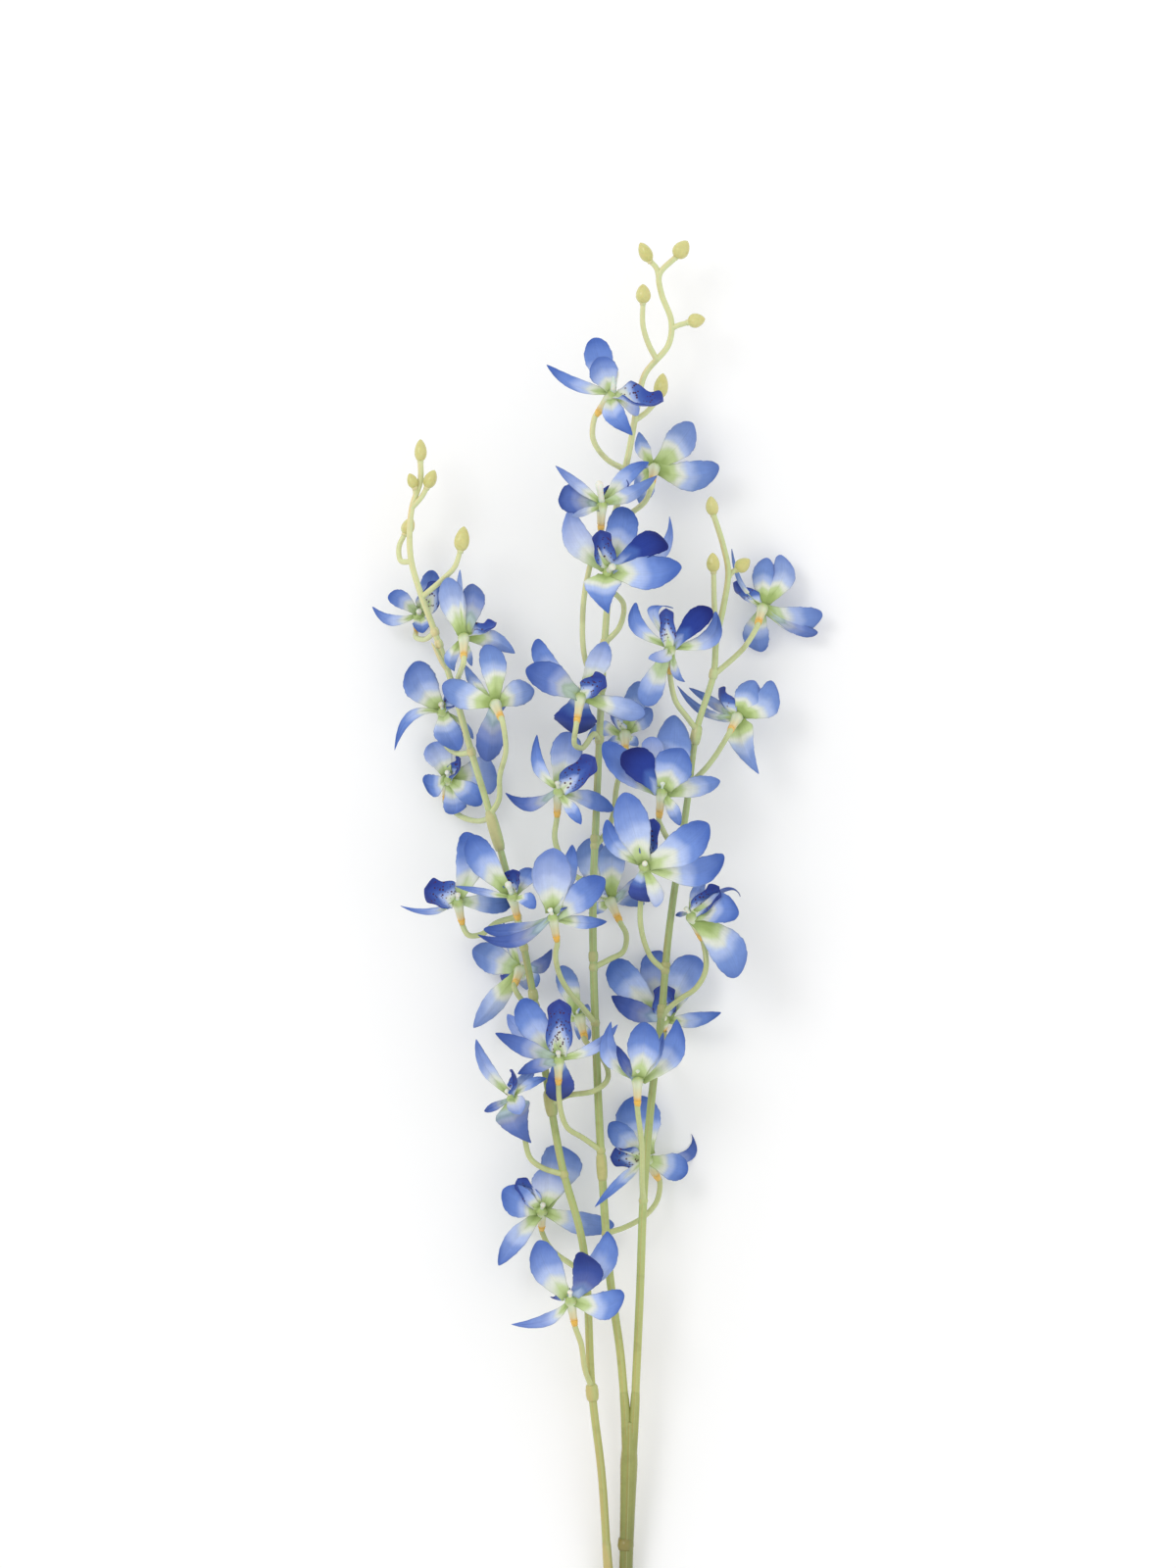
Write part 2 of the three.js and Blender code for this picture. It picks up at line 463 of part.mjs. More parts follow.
    lip: [-16, 6.5, 6], lipScale: 1.7, lipUp: 0.6,
    from: 333, stalk: [[-51, 329, 32.1], [-58, 323.5, 34.2], [-65, 323, 37.2]],
    petals: [
      ['S', -29, -2.5, 4, 0.25, 0.8, 1.5, -4.5], ['P', 5, 35, -8, 0.66, 0.8, 4.5, 1],
      ['S', -5.5, -4.5, -17, 0.24, 0.8, 0, 0], ['P', 27.5, -0.5, -16, 0.52, 0.8, 1, -1.5],
      ['S', 2.5, -4.5, -14, 0.29, -0.8, 0.5, 0],
    ],
  },
  {
    name: 'bloom_l07', branch: 'left', at: [-42.7, 343.6, 52.1], face: [-0.2, 0.82, 0.5],
    lip: [0, 13, -2], columnLength: 9,
    from: 316, stalk: [[-39.5, 324, 40.2]],
    petals: [
      ['P', -21.5, 30, 6, 0.6, 0.8, -3, 1.5], ['S', -18.5, 27, -9, 0.47, 0.8, -1.5, 1],
      ['S', -28.5, 4.5, 12, 0.26, 0.8, 0, -0.5], ['P', 12, -6.5, 15, 0.57, 0.8, 2, 1.5],
      ['P', 10.5, 13, -16, 0.6, 0.8, 0.5, 0.5],
    ],
  },
  {
    name: 'bloom_l08', branch: 'left', at: [-38.5, 305.4, 18.2], face: [0.2, 0.55, -0.8],
    lip: [-8, -6, -15],
    from: 287, stalk: [[-37, 289, 31.3]],
    petals: [
      ['P', -24.5, 10, -3, 0.88, -0.8, -0.5, -0.5], ['S', -24, -30, 2, 0.63, -0.8, -1, -1.5],
      ['S', 16, 10, -8, 0.85, -0.8, 2, -3.5], ['S', -9, 24, -8, 0.38, -0.8, -0.5, 0.5],
      ['P', 3, -11, -34, 0.31, -0.8, 0, 0], ['P', 8.5, -9, -4, 0.76, -0.8, 2, 1],
    ],
  },
  {
    name: 'bloom_l09', branch: 'left', at: [-43, 241, 41.6], face: [-0.4, 0.75, 0.5],
    lip: [-1, 13, 8],
    from: 201, stalk: [[-27, 204, 32.1], [-33.5, 209, 29], [-36.2, 219, 29.9]],
    petals: [
      ['S', -18, 29, 2, 0.45, 0.8, -3, -1], ['S', 11.5, 12, -11, 0.72, 0.8, -0.5, 0],
      ['S', 18, 9, 2, 0.58, 0.8, 0.5, 1.5], ['S', -14, -8, -10, 0.5, 0.8, -1, -1],
      ['T', 10, -24, -4, 0.81, -0.8, -3.5, -0.5], ['P', 4.5, -9, 15, 0.85, 0.8, 0.5, 0],
    ],
  },
  {
    name: 'bloom_l10', branch: 'left', at: [-27.7, 182.5, 21.5], face: [0, 0.7, 0.7],
    lip: [-11.5, 15.5, 8], lipUp: 0.8,
    from: 150, stalk: [[-12, 154, 19.1], [-23, 162, 11.9]],
    petals: [
      ['P', -20, 10, 4, 1.06, 0.8, -0.5, -1.5], ['P', 2.5, 22, 8, 1.14, 0.8, 2, -0.5],
      ['P', 10.5, 32, -10, 0.9, 0.8, 4, 3.5], ['S', -22, -28.5, 2, 0.66, 0.8, -2, -0.5],
      ['P', 37, -8.5, -9, 0.46, 0.8, -1, -2.5],
    ],
  },
  {
    name: 'bloom_l11', branch: 'left', at: [-13, 138, 47.6], face: [-0.15, 0.9, 0.35],
    lip: [-8, 2, -11],
    from: 92, stalk: [[-5.5, 101, 31.8], [-7.5, 114.5, 38.3]],
    petals: [
      ['P', -16.5, 29.5, 3, 0.69, 0.8, -2.5, -0.5], ['P', 6, 24, 10, 0.88, 0.8, 5, -0.5],
      ['S', 19, 34, -8, 0.72, 0.8, 7, 2.5], ['P', 27.5, 2, 4, 0.81, 0.8, 2.5, -4.5],
      ['S', -30, -13, 3, 0.43, 0.8, 3, -4],
    ],
  },
];

// Closed solid from positions and triangles
const solidOf = (positions, triangles) => new wasm.Manifold(new wasm.Mesh({
  numProp: 3, vertProperties: new Float32Array(positions), triVerts: new Uint32Array(triangles),
}));

const solidOfGeometry = (geometry) => {
  const bare = geometry.clone();
  bare.deleteAttribute('normal');
  bare.deleteAttribute('uv');
  const merged = mergeVertices(bare, 1e-5);
  const index = merged.index.array;
  const kept = [];
  for (let i = 0; i < index.length; i += 3) {
    const [a, b, c] = [index[i], index[i + 1], index[i + 2]];
    if (a !== b && b !== c && c !== a) kept.push(a, b, c);
  }
  return solidOf(merged.attributes.position.array, kept);
};

// The biggest single body of a fused solid, with any sealed pocket filled
const biggestBody = (solid) => solid.decompose().sort((a, b) => b.volume() - a.volume())[0];

const fuse = (solids) => biggestBody(solids.reduce((sum, next) => sum.add(next)));

const meshOf = (name, solid, colour, roughness) => {
  const { vertProperties, triVerts } = solid.getMesh();
  const geometry = new THREE.BufferGeometry();
  geometry.setAttribute('position', new THREE.BufferAttribute(vertProperties, 3));
  geometry.setIndex(new THREE.BufferAttribute(triVerts, 1));
  geometry.computeVertexNormals();
  const material = new THREE.MeshStandardMaterial({ color: colour, roughness, metalness: 0 });
  const mesh = new THREE.Mesh(geometry, material);
  mesh.name = name;
  return mesh;
};

// Round stem along a curve, its radius given by the share of the length run so far
const sweep = (points, radiusAt, steps, sides) => {
  const curve = new THREE.CatmullRomCurve3(points, false, 'centripetal');
  const frames = curve.computeFrenetFrames(steps, false);
  const positions = [];
  for (let i = 0; i <= steps; i += 1) {
    const centre = curve.getPointAt(i / steps);
    for (let j = 0; j < sides; j += 1) {
      const angle = (2 * Math.PI * j) / sides;
      const out = frames.normals[i].clone().multiplyScalar(Math.cos(angle));
      out.addScaledVector(frames.binormals[i], Math.sin(angle)).multiplyScalar(radiusAt(i / steps));
      positions.push(...centre.clone().add(out).toArray());
    }
  }
  const triangles = [];
  for (let i = 0; i < steps; i += 1) {
    for (let j = 0; j < sides; j += 1) {
      const k = (j + 1) % sides;
      const [a, b, c, d] = [i * sides + j, i * sides + k, (i + 1) * sides + k, (i + 1) * sides + j];
      triangles.push(a, b, c, a, c, d);
    }
  }
  for (let j = 1; j < sides - 1; j += 1) {
    const last = steps * sides;
    triangles.push(0, j + 1, j, last, last + j, last + j + 1);
  }
  return solidOf(positions, triangles);
};

// A turned form standing at a point with its axis along a direction; the profile gives radius and height
const turned = (profile, sides, at, direction) => {
  const lathe = new THREE.LatheGeometry(profile.map(([r, h]) => new THREE.Vector2(r, h)), sides);
  const upright = new THREE.Vector3(0, 1, 0);
  const turn = new THREE.Quaternion().setFromUnitVectors(upright, direction.clone().normalize());
  lathe.applyQuaternion(turn);
  lathe.translate(at.x, at.y, at.z);
  return solidOfGeometry(lathe);
};

// Half width of a petal as a share of its greatest half width
const outline = (shape, u) => (u < shape.widest
  ? shape.claw + (1 - shape.claw) * Math.sin((Math.PI / 2) * (u / shape.widest)) ** PETAL_SWELL
  : Math.max(0, 1 - ((u - shape.widest) / (1 - shape.widest)) ** shape.power) ** shape.end);

// Half width of the lip as a share of its greatest: side lobes up to the waist, then the middle lobe
const lipOutline = (u) => {
  const sides = u < LIP.sideEnd ? Math.sin((Math.PI * u) / LIP.sideEnd) ** 2 : 0;
  const middle = u > LIP.middleStart ? Math.sin((Math.PI * (u - LIP.middleStart)) / LIP.middleSpan) : 0;
  return LIP.waist + (1 - LIP.waist) * sides + LIP.middle * middle;
};

// The bloom's direction turned by a share towards straight up, or down for a share below 0
const turnedUp = (face, share) => face.clone().multiplyScalar(1 - Math.abs(share))
  .add(new THREE.Vector3(0, 0, share));

// Middle surface of a petal: a point for each u along its length and v across it
const petalSurface = (at, face, tip, kind, width, up, bend, layer, phase) => {
  const shape = PETAL_SHAPES[kind];
  const radial = tip.clone().addScaledVector(face, -tip.dot(face)).normalize();
  const root = at.clone().addScaledVector(radial, PETAL_ROOT).addScaledVector(face, layer);
  const chord = at.clone().add(tip).sub(root);
  const length = chord.length();
  const along = chord.normalize();
  const upside = turnedUp(face, up);
  const normal = upside.addScaledVector(along, -upside.dot(along)).normalize();
  const across = along.clone().cross(normal);
  const bow = PETAL_BOW * (1 - 2 * along.dot(face) ** 2);
  return (u, v) => {
    const half = shape.half * length * width * outline(shape, u);
    const lift = bow * length * 4 * u * (1 - u) + shape.cup * half * v * v
      + PETAL_RIPPLE * half * Math.abs(v) * Math.sin(WAVES * u + phase + v);
    return root.clone().addScaledVector(along, length * u).addScaledVector(across, half * v)
      .addScaledVector(normal, lift).addScaledVector(bend, 4 * u * (1 - u));
  };
};

// Middle surface of the lip, a trough that opens towards the column
const lipSurface = (at, column, tip, scale, up) => {
  const aside = tip.clone().addScaledVector(column, -tip.dot(column)).normalize();
  const root = at.clone().addScaledVector(aside, PETAL_ROOT);
  const chord = at.clone().add(tip).sub(root);
  const length = chord.length();
  const along = chord.normalize();
  const upside = turnedUp(column, up);
  const normal = upside.addScaledVector(along, -upside.dot(along)).normalize();
  const across = along.clone().cross(normal);
  return (u, v) => {
    const half = LIP.half * scale * lipOutline(u);
    const curl = (LIP.curl * Math.min(1, u / LIP.curlStart) - LIP.flatten * u) * half * v * v;
    const drop = -LIP.sag * length * Math.sin(Math.PI * u) - LIP.droop * length * u * u;
    return root.clone().addScaledVector(along, length * u)
      .addScaledVector(across, half * v * (1 - LIP.pinch * (1 - u)))
      .addScaledVector(normal, curl + drop);
  };
};

// Solid blade of even thickness on a middle surface, with a corner at each edge of a row and one at its tip
const blade = (surface, rows) => {
  const step = 0.01;
  const nearTip = 0.97;
  const front = [];
  const back = [];
  const grid = rows.map((u) => (u >= 1 ? [0] : [-1, 1]).map((v) => {
    const here = surface(u, v);
    const alongU = surface(Math.min(1, u + step), v).sub(surface(Math.max(0, u - step), v));
    const within = Math.min(u, nearTip);
    const alongV = surface(within, Math.min(1, v + step)).sub(surface(within, Math.max(-1, v - step)));
    const normal = alongV.cross(alongU).normalize();
    front.push(...here.clone().addScaledVector(normal, PETAL_THICKNESS / 2).toArray());
    back.push(...here.clone().addScaledVector(normal, -PETAL_THICKNESS / 2).toArray());
    return front.length / 3 - 1;
  }));
  const count = front.length / 3;
  const triangles = [];
  const face = (a, b, c) => triangles.push(a, b, c, count + a, count + c, count + b);
  for (let i = 0; i + 1 < grid.length; i += 1) {
    const [low, high] = [grid[i], grid[i + 1]];
    if (high.length === 1) {
      face(low[0], low[1], high[0]);
    } else {
      face(low[0], low[1], high[1]);
      face(low[0], high[1], high[0]);
    }
  }
  const rightEdge = grid.slice(1).map((row) => row[row.length - 1]);
  const leftEdge = grid.slice(1, -1).reverse().map((row) => row[0]);
  const rim = [...grid[0], ...rightEdge, ...leftEdge];
  rim.forEach((a, i) => {
    const b = rim[(i + 1) % rim.length];
    triangles.push(count + a, count + b, b, count + a, b, a);
  });
  return solidOf([...front, ...back], triangles);
};

// Everything below the surface is flattened away from what touches it
const spaceAbove = () => {
  const space = new THREE.BoxGeometry(400, 1000, 300);
  space.translate(0, (CUT_END + TIP) / 2, 150);
  return solidOfGeometry(space);
};
const ABOVE = spaceAbove();
const laidDown = (solid) => (solid.boundingBox().min[2] < 0 ? biggestBody(solid.intersect(ABOVE)) : solid);

// A petal that would pass under the surface bends flat along it
const keptAbove = (surface) => (u, v) => {
  const point = surface(u, v);
  point.z = Math.max(point.z, PETAL_THICKNESS / 2);
  return point;
};

const columnDirection = (face, lip, lean) => {
  const side = lip.clone().addScaledVector(face, -lip.dot(face)).normalize();
  return face.clone().addScaledVector(side, -lean).normalize();
};

const bloomPieces = (bloom, index) => {
  const at = vector(bloom.at);
  const face = vector(bloom.face).normalize();
  const lip = vector(bloom.lip);
  const foot = at.clone().addScaledVector(face, -CALYX_LENGTH);
  const tips = bloom.petals.map((petal) => vector(petal.slice(1, 4)));
  const lean = tips.map((tip) => tip.dot(face) / tip.length());
  const pieces = bloom.petals.map(([kind, , , , width, up, bendX, bendY], number) => {
    const before = lean.filter((value) => value < lean[number]).length;
    const layer = BACK_LAYER + (FRONT_LAYER - BACK_LAYER) * (before / (tips.length - 1));
    const phase = BLOOM_PHASE * index + PETAL_PHASE * number;
    const bend = new THREE.Vector3(bendX, bendY, 0);
    const surface = petalSurface(at, face, tips[number], kind, width, up, bend, layer, phase);
    return blade(keptAbove(surface), PETAL_SHAPES[kind].rows);
  });
  const lipFace = columnDirection(face, lip, COLUMN_LEAN);
  const trough = lipSurface(at, lipFace, lip, bloom.lipScale ?? 1, bloom.lipUp ?? 0);
  const lipBlade = blade(keptAbove(trough), LIP.rows);
  const calyx = turned(CALYX_PROFILE, SIDES.calyx, foot, face);
  const columnAxis = columnDirection(face, lip, bloom.columnLean ?? COLUMN_LEAN);
  const profile = columnProfile(bloom.columnLength ?? COLUMN_LENGTH);
  return [...pieces, lipBlade, calyx, turned(profile, SIDES.column, at, columnAxis)];
};
const bloomSolid = (bloom, index) => fuse(bloomPieces(bloom, index));

// The point of a branch that lies at a given place along the stem
const branchCurves = Object.fromEntries(Object.entries(BRANCHES).map(([name, route]) => [
  name, new THREE.CatmullRomCurve3(route.map(raised), false, 'centripetal')]));
const onBranch = (name, y) => {
  const away = (point) => Math.abs(point.y - y);
  const points = branchCurves[name].getSpacedPoints(800);
  return points.reduce((best, point) => (away(point) < away(best) ? point : best)).clone();
};

const stalkSolid = (points) => sweep(points, () => STALK_RADIUS, Math.max(2, points.length - 1), SIDES.stalk);

const bloomStalk = (bloom) => {
  const face = vector(bloom.face).normalize();
  const end = vector(bloom.at).addScaledVector(face, -(CALYX_LENGTH + SEAM_GAP));
  const before = end.clone().addScaledVector(face, -STALK_END);
  return stalkSolid([onBranch(bloom.branch, bloom.from), ...bloom.stalk.map(vector), before, end]);
};

const budSolid = ({ stalk, dir, length, width }) => {
  const base = vector(stalk[stalk.length - 1]);
  const radius = width / 2;
  const profile = BUD_PROFILE.map(([out, along]) => [radius * out, along * length]);
  return turned(profile, SIDES.bud, base, vector(dir));
};

const budParts = (bud) => {
  const parts = [budSolid(bud)];
  if (bud.from !== null) parts.push(stalkSolid([onBranch(bud.branch, bud.from), ...bud.stalk.map(vector)]));
  return parts;
};

const sleeveSolid = ([branch, y, length, radius]) => {
  const low = onBranch(branch, y - length / 2);
  const high = onBranch(branch, y + length / 2);
  const axis = high.clone().sub(low);
  const run = axis.length();
  const [edge, rest] = [SLEEVE_EDGE * run, (1 - SLEEVE_EDGE) * run];
  return turned([[0, 0], [radius, edge], [radius, rest], [0, run]], SIDES.sleeve, low, axis);
};

const bractSolid = ([branch, y, tip, radius]) => {
  const low = onBranch(branch, y);
  const axis = vector(tip).sub(low);
  const run = axis.length();
  return turned([[0, 0], [radius, BRACT_WIDEST * run], [0, run]], SIDES.bract, low, axis);
};

const branchSolid = (name) => {
  const route = BRANCHES[name];
  const radiusAt = (t) => BRANCH_RADIUS + (BRANCH_TIP_RADIUS - BRANCH_RADIUS) * t ** 1.5;
  const steps = Math.round(STEPS_PER_POINT * route.length);
  return fuse([
    sweep(route.map(raised), radiusAt, steps, SIDES.branch),
    ...SLEEVES.filter((sleeve) => sleeve[0] === name).map(sleeveSolid),
    ...BRACTS.filter((bract) => bract[0] === name).map(bractSolid),
    ...BUDS.filter((bud) => bud.branch === name).flatMap(budParts),
    ...BLOOMS.filter((bloom) => bloom.branch === name).map(bloomStalk),
  ]);
};

// A short socket on the main stem that ends just before the foot of a branch
const socketSolid = (name, inside) => {
  const foot = raised(BRANCHES[name][0]);
  const next = raised(BRANCHES[name][1]);
  const axis = next.sub(foot).normalize();
  const end = foot.clone().addScaledVector(axis, -SEAM_GAP);
  const before = end.clone().addScaledVector(axis, -SOCKET_LENGTH);
  const radiusAt = (t) => SOCKET_FOOT_RADIUS + (SOCKET_RADIUS - SOCKET_FOOT_RADIUS) * t;
  return sweep([raised(inside), before, end], radiusAt, 2, SIDES.socket);
};

const mainStemSolid = () => {
  const route = [[14, CUT_END], [14.6, -50], [15.5, 0], [16.6, 40], [17.1, 60], [17.3, 74]];
  const swelling = (t) => Math.max(0, (t - SWELLING_START) / (SWELLING_END - SWELLING_START)) ** 1.3;
  const radiusAt = (t) => (t > SWELLING_END
    ? FORK_RADIUS * STEM_END_SHARE
    : STEM_RADIUS + (FORK_RADIUS - STEM_RADIUS) * swelling(t));
  const trunk = sweep(route.map(raised), radiusAt, 8, SIDES.stem);
  const low = raised([15.2, RING_FOOT]);
  const high = raised([15.4, RING_FOOT + RING_LENGTH]);
  const ringProfile = [
    [0, 0],
    [STEM_RADIUS + RING_STEP - RING_LIP, 0],
    [STEM_RADIUS + RING_STEP, RING_EDGE],
    [STEM_RADIUS + RING_STEP - RING_LIP, RING_LENGTH],
    [0, RING_LENGTH],
  ];
  const ring = turned(ringProfile, SIDES.stem, low, high.sub(low));
  const sockets = [
    socketSolid('centre', [16.4, 54]),
    socketSolid('right', [18, 54]),
    socketSolid('left', [14.3, -66]),
  ];
  return laidDown(fuse([trunk, ring, ...sockets]));
};

const spray = new THREE.Group();
spray.position.set(0, -(CUT_END + TIP) / 2, 0);
spray.add(meshOf('main_stem', mainStemSolid(), COLOURS.stem, STEM_ROUGHNESS));
Object.keys(BRANCHES).forEach((name) => {
  spray.add(meshOf(`branch_${name}`, branchSolid(name), COLOURS.branch, STEM_ROUGHNESS));
});
BLOOMS.forEach((bloom, index) => {
  spray.add(meshOf(bloom.name, bloomSolid(bloom, index), COLOURS.petal, PETAL_ROUGHNESS));
});
spray.updateMatrixWorld(true);

export default spray;
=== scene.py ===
import bpy
import numpy as np
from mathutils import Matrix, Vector


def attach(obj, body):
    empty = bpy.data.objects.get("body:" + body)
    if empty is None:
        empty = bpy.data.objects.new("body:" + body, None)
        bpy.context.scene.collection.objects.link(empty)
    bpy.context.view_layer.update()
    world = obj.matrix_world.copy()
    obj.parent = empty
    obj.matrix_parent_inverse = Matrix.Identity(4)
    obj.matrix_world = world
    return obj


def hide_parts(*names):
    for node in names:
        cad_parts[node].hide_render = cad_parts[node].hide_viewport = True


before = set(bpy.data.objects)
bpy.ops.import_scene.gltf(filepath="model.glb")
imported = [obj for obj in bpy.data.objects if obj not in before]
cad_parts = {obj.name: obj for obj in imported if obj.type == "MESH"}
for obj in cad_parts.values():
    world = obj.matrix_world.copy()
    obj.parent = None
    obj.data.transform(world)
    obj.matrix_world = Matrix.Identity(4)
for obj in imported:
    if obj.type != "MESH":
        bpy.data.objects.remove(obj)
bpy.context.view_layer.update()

# Where the middle of the stem's length lies, along the stem
MIDDLE = 286.0

# The stems' climb from the cut end to the flowering part
CUT_END = -104.0
REST_RISE = 3.3
BRANCH_RISE = 31.0
FLAT_RUN = 30.0
RISE_LENGTH = 160.0
RISE_POWER = 1.8

STEM_RADIUS = 3.5
FORK_RADIUS = 4.5
SWELLING_START = 0.6
SWELLING_END = 0.875
STEM_END_SHARE = 0.6
SOCKET_FOOT_RADIUS = 3.0
SOCKET_RADIUS = 2.4
BRANCH_RADIUS = 2.15
BRANCH_TIP_RADIUS = 1.5
STALK_RADIUS = 1.42
CALYX_LENGTH = 12.0
CALYX_FOOT_RADIUS = 2.0
THROAT_RADIUS = 3.2
COLUMN_LENGTH = 5.0
COLUMN_THICKENING = 0.09
COLUMN_LEAN = 0.2
PETAL_ROOT = 1.5
BACK_LAYER = -2.1
FRONT_LAYER = 0.9
FABRIC = 0.36
BLOOM_PHASE = 2.4
PETAL_PHASE = 1.7
PETAL_SWELL = 1.8
WAVES = 7.0
PETAL_BOW = 0.07
PETAL_RIPPLE = 0.13
EDGE_CURL = 0.2
CREASE_DEPTH = 0.45
CREASE_WIDTH = 0.14
LIP_FRILL = 0.35
LIP_NOTCH = 0.06
LOWEST_FABRIC = 0.3
LOWEST_POINT = 0.02

# Petal forms: half width as a share of the length, where it is widest, how narrow its foot is, how
# round its end is, and how far its edges curve forward
FORMS = {
    "P": {"half": 0.35, "widest": 0.56, "claw": 0.4, "power": 2.1, "end": 0.6, "cup": 0.26},
    "S": {"half": 0.24, "widest": 0.46, "claw": 0.44, "power": 1.7, "end": 0.8, "cup": 0.24},
    "T": {"half": 0.5, "widest": 0.22, "claw": 0.5, "power": 1.1, "end": 0.9, "cup": 0.12},
}
LIP = {
    "half": 5.6, "waist": 0.66, "side_end": 0.7, "middle": 0.12, "middle_start": 0.55, "middle_span": 0.55,
    "curl": 1.05, "curl_start": 0.25, "flatten": 0.75, "sag": 0.18, "droop": 0.1, "pinch": 0.3,
}

# The three branches seen from above, each from its foot on the main stem to its last bud
BRANCHES = {
    "centre": [
        [14.4, 88], [12.5, 109.5], [7, 150], [3, 205], [0, 270], [-1.5, 335], [0.5, 392], [3, 448],
        [5.5, 487], [9.5, 535], [17, 570], [21, 592], [25, 609], [37, 624], [38.5, 636], [33.5, 650],
        [32.5, 660], [41, 669],
    ],
    "right": [
        [20.2, 88], [22.5, 140], [24.5, 192], [28.5, 240], [33.5, 282], [37, 322], [46.5, 390],
        [51.5, 427.5], [60, 456], [61.5, 474], [65, 490], [67.5, 508], [65, 521.5], [60, 537.5],
    ],
    "left": [
        [8.2, -30], [6, 1.5], [3, 47], [-2, 90], [-6.5, 164], [-17, 204], [-23, 236], [-31.5, 290],
        [-41, 336], [-50, 371], [-64, 418], [-74, 453], [-83, 480], [-89, 496], [-94.5, 516], [-94, 540],
        [-89.5, 555], [-89.5, 565],
    ],
}

# Sleeves and thickenings of a branch: branch, place along the stem, length, radius
SLEEVES = [
    ["centre", 205, 14, 2.8], ["centre", 312, 5, 2.5], ["centre", 372, 4, 2.5], ["centre", 423, 5, 2.4],
    ["right", 285, 6, 2.6], ["right", 308, 3, 2.5], ["right", 400, 7, 2.4], ["right", 425, 9, 2.8],
    ["right", 456, 5, 2.3], ["left", 89, 8, 3.3], ["left", 237, 12, 3.2], ["left", 292, 6, 2.6],
    ["left", 376, 20, 3.1], ["left", 471, 4, 2.2], ["left", -6, 44, 2.45],
]

# Pointed bracts along a branch: branch, place where the bract starts, its tip, its radius
BRACTS = [["left", 455, [-84, 472.5, 37], 1.4]]

# Buds: branch, where the stalk starts (none at the branch's end), its route, the bud's direction,
# length and width, and how far round it is turned
BUDS = [
    ["centre", None, [[41, 669, 34]], [0.5, 0.7, 0], 10, 8.6, 1.4],
    ["centre", 659, [[31, 663, 34], [27.5, 667, 34.5]], [-0.45, 0.85, 0.1], 10.5, 7, 0.3],
    ["centre", 633, [[42, 634, 35], [47.5, 635.5, 36]], [0.95, 0.2, 0.1], 8.5, 7.8, 2.2],
    ["centre", 617, [[27, 624, 36.5], [24, 634, 37.5], [24, 645.5, 38]], [0, 1, 0.1], 9.5, 8, 0.9],
    ["centre", 586, [[26, 590, 31], [32.5, 597.5, 28]], [0.15, 1, 0], 12.5, 7.6, 2.6],
    ["right", None, [[60, 537.5, 34]], [-0.15, 1, 0], 9.5, 6.8, 0.2],
    ["right", 475, [[60.5, 489, 38], [60, 508.5, 40]], [-0.05, 1, 0.1], 9.5, 7, 1.8],
    ["right", 505, [[69.5, 508, 32], [72, 509.5, 31]], [0.75, 0.6, -0.1], 8.5, 7.4, 0.6],
    ["left", None, [[-89.5, 565, 34]], [0, 1, 0], 11, 6.6, 2.9],
    ["left", 548, [[-92.5, 551.5, 36]], [-0.35, 0.9, 0.15], 7.5, 5.8, 1.1],
    ["left", 541, [[-88.5, 547, 36.5], [-86, 551.5, 37]], [0.4, 0.9, 0.15], 9.5, 6.8, 2.4],
    ["left", 513, [[-99.5, 514, 30], [-100.5, 521, 27], [-97.5, 528, 26]], [0.4, 0.9, 0], 9, 7, 0.7],
    ["left", 496, [[-79, 503.5, 39], [-72, 510.5, 41], [-69, 519, 42]], [0.15, 1, 0], 12.5, 8, 1.6],
]

